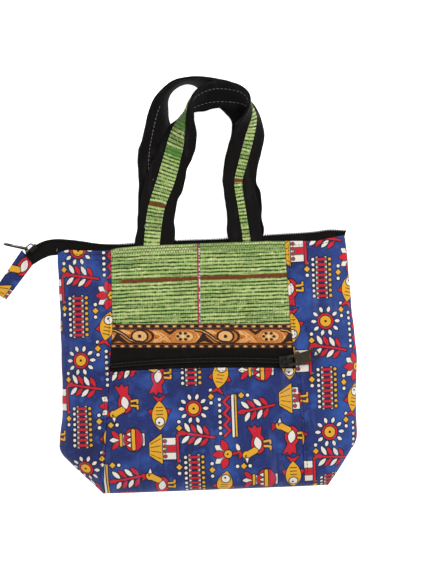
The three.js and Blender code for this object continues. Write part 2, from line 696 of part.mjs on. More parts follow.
// A frame at a place with X along one way and Z along another
function frameAt(place, along, out) {
  const group = new THREE.Group();
  const across = out.clone().cross(along).normalize();
  const level = along.clone().normalize();
  group.setRotationFromMatrix(new THREE.Matrix4().makeBasis(level, across, level.clone().cross(across)));
  group.position.copy(place);
  bag.add(group);
  return group;
}

add(bag, "back_panel", backPanel(), PRINT);
add(bag, "side_panel_left", sidePanel(leftEdge, leftSeam, -1), PRINT);
add(bag, "side_panel_right", sidePanel(rightEdge, rightSeam, 1), PRINT);

const pocketDepth = CROSS_SEAMS.pocketTop.left - BOTTOM_Y;
const pocketSteps = rimSteps(FRONT_FOOT_ROLL / pocketDepth, 0, FACES.rim, FACES.front.pocket);
add(bag, "pocket_panel", middlePanel(CROSS_SEAMS.foot, CROSS_SEAMS.pocketTop, pocketSteps), PRINT);
const wovenSteps = evenSteps(FACES.front.woven);
add(bag, "woven_panel", middlePanel(CROSS_SEAMS.wovenFoot, CROSS_SEAMS.mouth, wovenSteps), WOVEN);
const borderSteps = evenSteps(FACES.front.border);
add(bag, "border_band", middlePanel(CROSS_SEAMS.borderFoot, CROSS_SEAMS.wovenFoot, borderSteps), BORDER);

add(bag, "pocket_zip_tape_upper", pocketTape(CROSS_SEAMS.borderFoot, 1), ZIP_TAPE);
add(bag, "pocket_zip_tape_lower", pocketTape(CROSS_SEAMS.pocketTop, -1), ZIP_TAPE);
add(bag, "pocket_zip_coil", pocketCoil(), COIL_PLASTIC);

add(bag, "top_zip_tape_front", topTape(1), ZIP_TAPE);
add(bag, "top_zip_tape_back", topTape(-1), ZIP_TAPE);
add(bag, "top_zip_coil", topCoil(), COIL_PLASTIC);
add(bag, "zip_end_tab", endTab(), PRINT);

// A slider at a frame, with its pull turned out of the chain's line and raised off the deck
function addZipPull(prefix, group, shape, turn, raise) {
  add(group, prefix + "_slider", sliderGeometry(), ZIP_METAL);
  const pivot = new THREE.Group();
  pivot.position.set(SLIDER.pivotAlong, 0, SLIDER_BASE + SLIDER.plate + SLIDER.pivotRise);
  pivot.rotation.set(0, -radians(raise), radians(turn), "ZYX");
  group.add(pivot);
  add(pivot, prefix + "_pull", pullGeometry(shape), ZIP_METAL);
}

const pocketShare =
  (POCKET_SLIDER.x - leftSeam(POCKET_CHAIN.right)) /
  (rightSeam(POCKET_CHAIN.right) - leftSeam(POCKET_CHAIN.right));
const pocketFoot = pocketChainFoot(pocketShare).addScaledVector(new THREE.Vector3(0, 0, 1), -GAP);
const sliderTurn = radians(POCKET_SLIDER.turn);
const pocketFrame = frameAt(
  pocketFoot,
  new THREE.Vector3(Math.cos(sliderTurn), Math.sin(sliderTurn), 0),
  new THREE.Vector3(0, 0, 1),
);
const pocketPullTurn = POCKET_SLIDER.pullTurn - POCKET_SLIDER.turn;
addZipPull("pocket_zip", pocketFrame, PULL, pocketPullTurn, -POCKET_SLIDER.pullPitch);

const tailEnd = TOP_CHAIN.length - 1;
const [beforeEnd, chainEnd] = TOP_CHAIN.slice(-2);
const lastRowLength = Math.hypot(chainEnd.x - beforeEnd.x, chainEnd.y - beforeEnd.y);
const tail = topChainAt(tailEnd - TOP_SLIDER.back / lastRowLength);
const tailOut = tail.out.clone().applyAxisAngle(tail.heading, radians(TOP_SLIDER.lean));
const tailFrame = frameAt(tail.foot.addScaledVector(tail.out, -GAP), tail.heading, tailOut);
addZipPull("top_zip", tailFrame, SHORT_PULL, 0, TOP_SLIDER.pullRaise);

add(bag, "front_handle_band", handleBand(FRONT_HANDLE, 1), BLACK_CLOTH);
add(bag, "front_handle_inlay", handleInlay(FRONT_HANDLE, 1), WOVEN);
add(bag, "rear_handle_band", handleBand(REAR_HANDLE, -1), BLACK_CLOTH);
add(bag, "rear_handle_inlay", handleInlay(REAR_HANDLE, -1), WOVEN);

export default bag;
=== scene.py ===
"""Patchwork hand bag lying on its back: its cloth, zips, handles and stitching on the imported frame.

Lengths are in millimetres until a mesh is made, which is in metres as the frame is.
"""
import logging
import math
from dataclasses import dataclass, field
from enum import Enum, member
from typing import Callable, Mapping, Sequence

import bpy
import numpy as np
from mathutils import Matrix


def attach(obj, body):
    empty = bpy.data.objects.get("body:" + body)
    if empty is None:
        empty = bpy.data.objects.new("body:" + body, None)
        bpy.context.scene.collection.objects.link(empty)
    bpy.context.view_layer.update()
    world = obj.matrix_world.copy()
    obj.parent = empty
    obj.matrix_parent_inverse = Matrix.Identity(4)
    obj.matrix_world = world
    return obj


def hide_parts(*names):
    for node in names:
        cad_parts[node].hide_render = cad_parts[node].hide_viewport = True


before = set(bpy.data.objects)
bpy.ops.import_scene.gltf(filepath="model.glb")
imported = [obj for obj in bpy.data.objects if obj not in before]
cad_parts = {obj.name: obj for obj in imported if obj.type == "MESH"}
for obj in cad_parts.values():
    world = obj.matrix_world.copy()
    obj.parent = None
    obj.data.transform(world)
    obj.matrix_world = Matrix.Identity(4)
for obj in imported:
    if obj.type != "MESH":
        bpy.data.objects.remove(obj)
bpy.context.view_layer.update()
LOG = logging.getLogger("patchwork_bag")
MM = 0.001
GAP = 0.3
CLOTH = 1.6

Colour = tuple[float, float, float, float]
Pair = tuple[float, float]
Numbers = tuple[float, ...]
Grid = np.ndarray
Material = bpy.types.Material
Socket = bpy.types.NodeSocket


def srgb(red: float, green: float, blue: float) -> Colour:
    """Turns screen values from 0 to 255 into a linear colour.

    Args:
        red: Red screen value.
        green: Green screen value.
        blue: Blue screen value.

    Returns:
        Linear red, green, blue and full alpha.
    """
    def linear(value: float) -> float:
        """Linear value of one screen value."""
        share = value / 255
        return share / 12.92 if share <= 0.04045 else ((share + 0.055) / 1.055) ** 2.4

    return (linear(red), linear(green), linear(blue), 1.0)


def smooth(value: Grid) -> Grid:
    """Smooth step of values between 0 and 1."""
    held = np.clip(value, 0, 1)
    return held * held * (3 - 2 * held)


class Signal:
    """A shader value that takes part in Python arithmetic."""

    def __init__(self, paint: "Paint", socket: Socket) -> None:
        """Keeps the node tree's builder and the socket that carries the value."""
        self.paint = paint
        self.socket = socket

    def maths(self, operation: str, first: object, second: object = 0.0, clamp: bool = False) -> "Signal":
        """Adds one Math node.

        Args:
            operation: Blender's name of the operation.
            first: First value, a number or a signal.
            second: Second value, a number or a signal.
            clamp: Whether the result is held between 0 and 1.

        Returns:
            The result.
        """
        node = self.paint.node("ShaderNodeMath", {"operation": operation, "use_clamp": clamp},
                               {0: first, 1: second})
        return Signal(self.paint, node.outputs[0])

    def __add__(self, other: object) -> "Signal":
        """Sum."""
        return self.maths("ADD", self, other)

    def __radd__(self, other: object) -> "Signal":
        """Sum with the number first."""
        return self.maths("ADD", other, self)

    def __sub__(self, other: object) -> "Signal":
        """Difference."""
        return self.maths("SUBTRACT", self, other)

    def __rsub__(self, other: object) -> "Signal":
        """Difference with the number first."""
        return self.maths("SUBTRACT", other, self)

    def __mul__(self, other: object) -> "Signal":
        """Product."""
        return self.maths("MULTIPLY", self, other)

    def __truediv__(self, other: object) -> "Signal":
        """Quotient."""
        return self.maths("DIVIDE", self, other)

    def held(self) -> "Signal":
        """The value held between 0 and 1."""
        return self.maths("ADD", self, 0.0, clamp=True)

    def band(self, half: float, soft: float) -> "Signal":
        """A band around zero with soft edges.

        Args:
            half: Half its width.
            soft: Width of its edges.

        Returns:
            Shares from 0 to 1.
        """
        return (0.5 + (half - self.maths("ABSOLUTE", self)) / soft).held()

    def wave(self) -> "Signal":
        """Sine of the value."""
        return self.maths("SINE", self)


class Paint:
    """One material and the nodes that make it."""

    def __init__(self, name: str) -> None:
        """Starts an empty material with its shader.

        Args:
            name: Name of the material.
        """
        self.material = bpy.data.materials.new(name)
        self.material.use_nodes = True
        self.tree = self.material.node_tree
        self.tree.nodes.clear()
        self.shader = self.node("ShaderNodeBsdfPrincipled")
        self.node("ShaderNodeOutputMaterial", {}, {"Surface": self.shader.outputs["BSDF"]})
        self.place = self.node("ShaderNodeTexCoord").outputs["Object"]

    def node(self, kind: str, settings: Mapping[str, object] | None = None,
             sockets: Mapping[object, object] | None = None) -> bpy.types.Node:
        """Adds a node, sets it and fills its sockets.

        Args:
            kind: Blender's name of the node's type.
            settings: Properties of the node, set before its sockets.
            sockets: Numbers, colours, signals or sockets by input number, name or identifier.

        Returns:
            The node.
        """
        made = self.tree.nodes.new(kind)
        for key, value in (settings or {}).items():
            setattr(made, key, value)
        for key, value in (sockets or {}).items():
            target = made.inputs[key] if isinstance(key, int) else \
                next(socket for socket in made.inputs if key in (socket.identifier, socket.name))
            self.fill(target, value)
        return made

    def fill(self, target: Socket, value: object) -> None:
        """Fills one input.

        Args:
            target: The input.
            value: Number, colour, signal or socket.
        """
        source = value.socket if isinstance(value, Signal) else value
        if isinstance(source, Socket):
            self.tree.links.new(source, target)
        else:
            target.default_value = source

    def attribute(self, name: str) -> Signal:
        """A value that the mesh carries on its points."""
        node = self.node("ShaderNodeAttribute", {"attribute_name": name})
        return Signal(self, node.outputs["Fac"])

    def along(self, axis: str) -> Signal:
        """The object's coordinate along X, Y or Z, in millimetres."""
        node = self.node("ShaderNodeSeparateXYZ", {}, {0: self.place})
        return Signal(self, node.outputs[axis]) * (1 / MM)

    def noise(self, size: float, detail: float = 2.0, stretch: Sequence[float] = (1, 1, 1)) -> Signal:
        """Cloudy noise over the object.

        Args:
            size: Width of a cloud in millimetres.
            detail: Number of finer layers.
            stretch: How many times closer the clouds lie along X, Y and Z.

        Returns:
            Noise from 0 to 1.
        """
        scale = tuple(share / (size * MM) for share in stretch)
        moved = self.node("ShaderNodeMapping", {}, {"Vector": self.place, "Scale": scale})
        node = self.node("ShaderNodeTexNoise", {},
                         {"Vector": moved.outputs[0], "Scale": 1.0, "Detail": detail})
        return Signal(self, node.outputs["Fac"])

    def patches(self, size: float, detail: float, level: float, gain: float,
                stretch: Sequence[float] = (1, 1, 1)) -> Signal:
        """Patches where the noise passes a level.

        Args:
            size: Width of a cloud in millimetres.
            detail: Number of finer layers.
            level: Noise at which a patch starts.
            gain: How steeply it rises, or below zero for patches under the level.
            stretch: How many times closer the clouds lie along X, Y and Z.

        Returns:
            Shares from 0 to 1.
        """
        return ((self.noise(size, detail, stretch) - level) * gain).held()

    def woven(self, thread: float, cloud: float, depth: float) -> Socket:
        """Normal of plain weave on uneven cloth.

        Args:
            thread: Pitch of the threads in millimetres.
            cloud: Width of the uneven places.
            depth: Their depth.

        Returns:
            The normal's socket.
        """
        grain = math.tau / thread
        weave = (self.along("X") * grain).wave() * (self.along("Y") * grain).wave()
        cloth = self.bump(weave * 0.5 + 0.5, 0.12, 0.5)
        return self.bump(self.noise(cloud, 3), depth, 0.5, cloth)

    def layer(self, under: object, over: object, share: object) -> Socket:
        """Lays one colour over another.

        Args:
            under: Colour or colour socket below.
            over: Colour or colour socket on top.
            share: How much of the top colour shows, from 0 to 1.

        Returns:
            The mixed colour's socket.
        """
        node = self.node("ShaderNodeMix", {"data_type": "RGBA"},
                         {"Factor_Float": share, "A_Color": under, "B_Color": over})
        return next(socket for socket in node.outputs if socket.identifier == "Result_Color")

    def bump(self, height: Signal, distance: float, strength: float = 1.0,
             under: Socket | None = None) -> Socket:
        """A bumped normal.

        Args:
            height: Height from 0 to 1.
            distance: Depth of the relief in millimetres.
            strength: Share of the relief that shows.
            under: Normal that this relief is laid on.

        Returns:
            The normal's socket.
        """
        sockets = {"Height": height, "Distance": distance * MM, "Strength": strength}
        if under is not None:
            sockets["Normal"] = under
        return self.node("ShaderNodeBump", {}, sockets).outputs["Normal"]

    def dress(self, **sockets: object) -> Material:
        """Fills the shader's sockets, named with underscores for spaces, and returns the material."""
        for key, value in sockets.items():
            self.fill(self.shader.inputs[key.replace("_", " ")], value)
        return self.material


class Noise:
    """Smooth random values over a plane, the same on each run."""

    CELLS = 64

    def __init__(self, seed: int, width: float, height: float) -> None:
        """Draws the lattice.

        Args:
            seed: Seed of the random draws.
            width: Lattice step along the first way, in millimetres.
            height: Lattice step along the second way, in millimetres.
        """
        self.step = (width, height)
        self.lattice = np.random.default_rng(seed).uniform(-1, 1, (self.CELLS, self.CELLS))

    def __call__(self, first: Grid, second: Grid) -> Grid:
        """Values from -1 to 1 at places on the plane."""
        places = [np.asarray(way) / step for way, step in zip((first, second), self.step)]
        floors = [np.floor(place).astype(int) for place in places]
        shares = [smooth(place - floor) for place, floor in zip(places, floors)]
        (i, j), (s, t) = floors, shares

        def at(a: int, b: int) -> Grid:
            """Lattice values a and b steps on."""
            return self.lattice[(i + a) % self.CELLS, (j + b) % self.CELLS]

        return (at(0, 0) * (1 - s) + at(1, 0) * s) * (1 - t) + (at(0, 1) * (1 - s) + at(1, 1) * s) * t


class Table:
    """Rows of numbers with named columns, read on a smooth curve by row number."""

    def __init__(self, columns: str, rows: Sequence[Sequence[float]]) -> None:
        """Keeps the columns by name."""
        self.values = dict(zip(columns.split(), np.array(rows, float).T))
        self.last = len(rows) - 1

    def at(self, column: str, row: Grid) -> Grid:
        """Values of a column at row numbers with fractions."""
        values = self.values[column]
        start = np.clip(np.floor(row).astype(int), 0, self.last - 1)
        t = row - start
        a, b, c, d = (values[np.clip(start + step, 0, self.last)] for step in (-1, 0, 1, 2))
        return b + 0.5 * t * (c - a + t * (2 * a - 5 * b + 4 * c - d + t * (3 * (b - c) + d - a)))

    def places(self, row: Grid) -> Grid:
        """Points of the columns x, y and z at row numbers."""
        return np.stack([self.at(key, row) for key in "xyz"], axis=-1)


def unit(vectors: Grid) -> Grid:
    """Vectors made one long."""
    return vectors / np.maximum(np.linalg.norm(vectors, axis=-1, keepdims=True), 1e-9)


def normals_of(points: Grid) -> Grid:
    """Ways out of a grid of points."""
    return unit(np.cross(np.gradient(points, axis=0), np.gradient(points, axis=1)))


def run_along(points: Grid) -> Grid:
    """Distances along a line of points from its first one."""
    return np.concatenate([[0], np.cumsum(np.linalg.norm(np.diff(points, axis=0), axis=1))])


def point_at(points: Grid, run: Grid, place: Grid | float) -> Grid:
    """Points at distances along a line.

    Args:
        points: Close points of the line.
        run: Distance along the line at each of them.
        place: Wanted distances.

    Returns:
        One point for each distance.
    """
    return np.stack([np.interp(place, run, points[:, c]) for c in range(3)], axis=-1)


def steps_of(length: float, pitch: float, multiple: int = 4) -> Grid:
    """Even steps from 0 to 1.

    Args:
        length: Length that the steps cover.
        pitch: Wanted length of a step.
        multiple: Number that the count of steps is a multiple of.

    Returns:
        The steps.
    """
    count = multiple * max(1, round(length / pitch / multiple))
    return np.linspace(0, 1, count + 1)


def new_object(name: str, points: Grid, faces: list[list[int]],
               values: Mapping[str, Grid] | None = None, crease: float = 50) -> bpy.types.Object:
    """Makes a mesh object.

    Args:
        name: Name of the object and its mesh.
        points: Points in millimetres, one a row.
        faces: Point numbers of each face.
        values: Numbers that each point carries, by attribute name.
        crease: Angle in degrees above which an edge stays sharp.

    Returns:
        The object, at the origin.
    """
    mesh = bpy.data.meshes.new(name)
    mesh.from_pydata((np.asarray(points) * MM).tolist(), [], faces)
    for key, numbers in (values or {}).items():
        carried = mesh.attributes.new(key, "FLOAT", "POINT")
        carried.data.foreach_set("value", np.asarray(numbers, np.float32))
    made = bpy.data.objects.new(name, mesh)
    bpy.context.scene.collection.objects.link(made)
    shade(made, crease)
    return made


def shade(made: bpy.types.Object, crease: float) -> None:
    """Shades an object smooth, with edges sharp above an angle in degrees."""
    select_only(made)
    bpy.ops.object.shade_smooth_by_angle(angle=math.radians(crease))


def select_only(made: bpy.types.Object) -> None:
    """Selects one object and makes it active."""
    bpy.ops.object.select_all(action="DESELECT")
    made.select_set(True)
    bpy.context.view_layer.objects.active = made


def settle(piece: bpy.types.Object, material: Material,
           nodes: Sequence[str] = (), body: str = "bag") -> None:
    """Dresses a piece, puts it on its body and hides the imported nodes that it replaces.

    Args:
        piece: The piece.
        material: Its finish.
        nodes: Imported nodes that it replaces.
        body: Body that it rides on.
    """
    piece.data.materials.clear()
    piece.data.materials.append(material)
    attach(piece, body)
    if nodes:
        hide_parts(*nodes)
    LOG.info("%s: %d faces on %s", piece.name, len(piece.data.polygons), body)


@dataclass
class Wall:
    """A cloth wall: a fine outer face, a plainer inner face and closed rims.

    The outer points lie on a grid whose step counts are multiples of plain.
    """

    name: str
    outer: Grid
    thickness: float
    values: dict[str, Grid] = field(default_factory=dict)
    side: int = 1
    level: tuple[float, int] | None = None
    plain: int = 4

    def lining(self) -> Grid:
        """Inner points, kept on their own side of the seam's level where there is one."""
        outer = self.outer[::self.plain, ::self.plain]
        outward = normals_of(self.outer)[::self.plain, ::self.plain] * self.side
        inner = outer - outward * self.thickness
        if self.level is None:
            return inner
        height, hand = self.level
        beyond = hand * (inner[..., 2] - height) < 0
        inner[..., 2] = np.where(beyond, height, inner[..., 2])
        close = beyond & (np.linalg.norm(inner - outer, axis=-1) < self.thickness / 2)
        inward = unit(-outer * (1, 1, 0))
        return np.where(close[..., None], inner + inward * self.thickness, inner)

    @staticmethod
    def rim(rows: int, columns: int) -> Grid:
        """Point numbers once round the edge of a grid."""
        index = np.arange(rows * columns).reshape(rows, columns)
        return np.concatenate([index[:-1, 0], index[-1, :-1], index[:0:-1, -1], index[0, :0:-1]])

    @staticmethod
    def quads(rows: int, columns: int, start: int) -> Grid:
        """Faces of a grid of points, numbered from a start."""
        index = np.arange(rows * columns).reshape(rows, columns) + start
        corners = (index[:-1, :-1], index[1:, :-1], index[1:, 1:], index[:-1, 1:])
        return np.stack(corners, axis=-1).reshape(-1, 4)

    def build(self) -> bpy.types.Object:
        """Makes the wall's object."""
        inner = self.lining()
        (rows, columns), (few_rows, few_columns) = self.outer.shape[:2], inner.shape[:2]
        count = rows * columns
        faces = self.quads(rows, columns, 0).tolist()
        faces += self.quads(few_rows, few_columns, count)[:, ::-1].tolist()
        fine = self.rim(rows, columns)
        coarse = self.rim(few_rows, few_columns) + count
        for k, low in enumerate(coarse):
            high = coarse[(k + 1) % len(coarse)]
            stretch = [fine[(k * self.plain + i) % len(fine)] for i in range(self.plain + 1)]
            middle = self.plain // 2
            faces += [[b, a, low] for a, b in zip(stretch[:middle], stretch[1:])]
            faces += [[b, a, high] for a, b in zip(stretch[middle:], stretch[middle + 1:])]
            faces.append([high, stretch[middle], low])
        if self.side < 0:
            faces = [face[::-1] for face in faces]
        points = np.concatenate([self.outer.reshape(-1, 3), inner.reshape(-1, 3)])
        carried = {key: np.concatenate([value.ravel(), value[::self.plain, ::self.plain].ravel()])
                   for key, value in self.values.items()}
        return new_object(self.name, points, faces, carried)


@dataclass(frozen=True)
class CrossSeam:
    """A seam across the middle of the front, by its levels at both ends and the bow between them."""

    left: float
    right: float
    rise: float = 0.0

    def at(self, share: Grid) -> Grid:
        """Levels at shares of the seam's length."""
        return self.left + (self.right - self.left) * share + 4 * self.rise * share * (1 - share)

    def moved(self, step: float) -> "CrossSeam":
        """The seam moved up by a step."""
        return CrossSeam(self.left + step, self.right + step, self.rise)

    def over(self, x: Grid) -> Grid:
        """Levels at places across the bag."""
        level = (self.left + self.right) / 2
        start, end = FORM.left_seam(level), FORM.right_seam(level)
        return self.at((x - start) / (end - start))


@dataclass(frozen=True)
class BagForm:
    """The bag's sewn shape: side edges, seams and the heights of its two faces."""

    seam_height: float = 8
    body_rise: float = 17
    mouth_rise: float = 6.5
    side_fall: float = 0.25
    front_roll: float = 32
    front_foot_roll: float = 20
    back_roll: float = 14
    bottom: float = -116.5
    mouth: float = 118.4
    mouth_slope: float = -0.0073
    full: float = 20
    half_width: float = 140
    settled_from: float = 86
    corner_steps: Numbers = (-5, -2.5, 0, 2.5, 5)
    corner_room: float = 8
    edge_wave: float = 0.0016
    edge_lengths: Numbers = (5.3, 12.7)
    edge_levels: Numbers = (-116.5, -75, -40, 10, 60, 120)
    left_edges: Numbers = (-103.5, -144, -139.5, -138, -138, -138)
    right_edges: Numbers = (111.5, 140, 141, 143, 139.5, 136.5)
    seam_levels: Numbers = (-116.5, -45, 41, 120)
    left_seams: Numbers = (-101.8, -95.4, -86.8, -86.5)
    right_seams: Numbers = (88, 86, 79.6, 78)
    # Sewn edge of the mouth, sunk at the open left corner and raised at the right one
    mouth_places: Numbers = (
        -140, -134, -127, -116, -99, -87, -80, -60, 60, 80, 108, 124, 138,
    )
    mouth_levels: Numbers = (
        112.8, 114.8, 116.2, 115, 114.2, 114.4, 115.8, 117.1, 117.2, 116.4, 115.4, 118.4, 120.6,
    )
    # Place, direction, reach along, spread across and height of each soft fold
    folds: tuple[Numbers, ...] = (
        (96, 72, 86, 40, 7, 2.4),
        (119, 58, 94, 46, 8, 2),
        (108, 66, 90, 36, 5, -1.6),
        (-112, -30, 97, 50, 10, 1.8),
        (62, -62, 20, 34, 9, -2),
        (-40, -70, 165, 44, 10, 1.8),
        (100, -48, 75, 30, 8, 2),
    )

    def edge(self, y: Grid, places: Numbers) -> Grid:
        """A side of the body, with soft corners and a line that is a little uneven.

        Args:
            y: Levels.
            places: The side's places at the edge levels.

        Returns:
            Its places at these levels.
        """
        reach = np.clip((y - self.bottom) / self.corner_room, 0, 1)
        lines = [np.interp(y + step * reach, self.edge_levels, places) for step in self.corner_steps]
        wave = 2 + sum(np.sin(y / length + places[0]) for length in self.edge_lengths)
        return np.mean(lines, axis=0) * (1 - self.edge_wave * wave)

    def left_edge(self, y: Grid) -> Grid:
        """Left side of the body."""
        return self.edge(y, self.left_edges)

    def right_edge(self, y: Grid) -> Grid:
        """Right side of the body."""
        return self.edge(y, self.right_edges)

    def left_seam(self, y: Grid) -> Grid:
        """Seam of the left side panel."""
        return np.interp(y, self.seam_levels, self.left_seams)

    def right_seam(self, y: Grid) -> Grid:
        """Seam of the right side panel."""
        return np.interp(y, self.seam_levels, self.right_seams)

    def side_seams(self, x: Grid, y: Grid) -> list[tuple[Grid, Grid]]:
        """Distances from both side seams.

        Args:
            x: Places across.
            y: Levels.

        Returns:
            The distance from each seam and the place along it.
        """
        return [(x - self.left_seam(y), y), (self.right_seam(y) - x, y)]

    def mouth_at(self, x: Grid) -> Grid:
        """Level of the mouth across the bag."""
        return np.interp(x, self.mouth_places, self.mouth_levels)

    def settled(self, x: Grid, y: Grid) -> Grid:
        """Level that cloth cut to a straight mouth has settled to.

        Args:
            x: Places across.
            y: Levels on the cloth as it was cut.

        Returns:
            Levels on the bag.
        """
        share = smooth((y - self.settled_from) / (self.mouth - self.settled_from))
        return y + share * (self.mouth_at(x) - self.mouth - self.mouth_slope * x)

    def rounding(self, x: Grid, y: Grid, side_roll: float, foot_roll: float) -> Grid:
        """Share of the full height that the rounded edges leave.

        Args:
            x: Places across.
            y: Places along.
            side_roll: Width of the rounding at the sides.
            foot_roll: Width of the rounding at the foot.

        Returns:
            Shares from 0 to 1.
        """
        def quarter(distance: Grid, radius: float) -> Grid:
            """Height of a quarter circle at a distance in from its edge."""
            return np.sqrt(1 - (1 - np.clip(distance / radius, 0, 1)) ** 2)

        sides = quarter(x - self.left_edge(y), side_roll) * quarter(self.right_edge(y) - x, side_roll)
        return sides * quarter(y - self.bottom, foot_roll)

    def front(self, x: Grid, y: Grid) -> Grid:
        """Height of the front's outer face."""
        towards_mouth = smooth((y - self.full) / (self.mouth - self.full))
        rise = self.body_rise + (self.mouth_rise - self.body_rise) * towards_mouth
        rise = rise * (1 - self.side_fall * (x / self.half_width) ** 2)
        for place_x, place_y, turn, reach, spread, height in self.folds:
            c, s = math.cos(math.radians(turn)), math.sin(math.radians(turn))
            along = ((x - place_x) * c + (y - place_y) * s) / reach
            aside = ((y - place_y) * c - (x - place_x) * s) / spread
            rise = rise + height * np.exp(-along ** 2 - aside ** 2)
        return self.seam_height + rise * self.rounding(x, y, self.front_roll, self.front_foot_roll)

    def back(self, x: Grid, y: Grid) -> Grid:
        """Height of the back's outer face."""
        return (self.seam_height - GAP) * (1 - self.rounding(x, y, self.back_roll, self.back_roll))

    def between(self, start: Callable[[Grid], Grid], end: Callable[[Grid], Grid],
                across: Grid, along: Grid) -> tuple[Grid, Grid]:
        """Places between two side lines of the body.

        Args:
            start: Line where the steps across start.
            end: Line where they end.
            across: Shares of the width.
            along: Shares of the length from foot to mouth.

        Returns:
            Grids of x and y.
        """
        share, length = np.meshgrid(across, along, indexing="ij")
        level = self.bottom + length * (self.mouth - self.bottom)
        x = start(level) + (end(level) - start(level)) * share
        y = self.bottom + length * (self.mouth + self.mouth_slope * x - self.bottom)
        return x, self.settled(x, y)

    def middle(self, low: CrossSeam, high: CrossSeam, across: Grid, along: Grid) -> tuple[Grid, Grid]:
        """Places on the middle of the front between two cross seams.

        Args:
            low: The lower seam.
            high: The upper seam.
            across: Shares of the width.
            along: Shares of the height.

        Returns:
            Grids of x and y.
        """
        share, height = np.meshgrid(across, along, indexing="ij")
        y = low.at(share) + (high.at(share) - low.at(share)) * height
        left, right = self.left_seam(y) + GAP / 2, self.right_seam(y) - GAP / 2
        x = left + (right - left) * share
        return x, self.settled(x, y)


FORM = BagForm()
WOVEN_FOOT = CrossSeam(44.6, 38.2)
BORDER_FOOT = CrossSeam(22.4, 15.6)
POCKET_TOP = CrossSeam(0.1, -3.3, 2.3)
MOUTH_LINE = CrossSeam(119.0, 117.8)
FOOT_LINE = CrossSeam(FORM.bottom, FORM.bottom)
# Linings of the front panels stay above the seams
FRONT_LEVEL = (FORM.seam_height, 1)


@dataclass(frozen=True)
class SeamRelief:
    """How sewn cotton lies beside its seams and in soft wrinkles."""

    tuck: float = 0.9
    tuck_reach: float = 1.3
    stitch_inset: float = 2.6
    stitch_dip: float = 0.4
    pucker: float = 0.4
    pucker_pitch: float = 6.5
    pucker_reach: float = 8
    wrinkle: float = 0.5
    crumple: float = 0.2

    def at(self, x: Grid, y: Grid, seams: Sequence[tuple[Grid, Grid]], seed: int) -> Grid:
        """Height of the relief.

        Args:
            x: Places across.
            y: Places along.
            seams: Distance from each seam and place along it.
            seed: Seed of the wrinkles.

        Returns:
            Heights in millimetres.
        """
        height = self.wrinkle * Noise(seed, 26, 44)(x, y) + self.crumple * Noise(seed + 1, 9, 14)(x, y)
        for k, (distance, along) in enumerate(seams):
            gather = Noise(seed + 2 + k, self.pucker_pitch, 60)(along, distance)
            held = np.exp(-distance / self.pucker_reach) * (1 - np.exp(-distance / self.tuck_reach))
            height = height + self.pucker * gather * held
            height = height - self.tuck * np.exp(-(distance / self.tuck_reach) ** 2)
            height = height - self.stitch_dip * np.exp(-(distance - self.stitch_inset) ** 2)
        return height


RELIEF = SeamRelief()


def flattened(outer: Grid, row: int, column: int) -> tuple[Grid, Grid]:
    """Places on the flat cloth that a grid of points was sewn from.

    Args:
        outer: Grid of points.
        row: Row of the grid that keeps its own x.
        column: Column of the grid that keeps its own y.

    Returns:
        Grids of places across and along the flat cloth.
    """
    places = []
    for axis, keep in ((0, row), (1, column)):
        step = np.diff(outer, axis=axis)
        length = np.linalg.norm(step, axis=-1) * np.sign(step[..., axis])
        start = np.zeros_like(np.take(outer[..., axis], [0], axis))
        run = np.concatenate([start, np.cumsum(length, axis=axis)], axis=axis)
        anchor = np.take(outer[..., axis], [keep], axis) - np.take(run, [keep], axis)
        places.append(run + anchor)
    return places[0], places[1]


class Ink(Enum):
    """Layers of the print, from the lowest to the top one, by attribute name."""

    CREAM = "ink_cream"
    RED = "ink_red"
    YELLOW = "ink_yellow"
    TOP_CREAM = "ink_top_cream"
    TOP_DARK = "ink_top_dark"


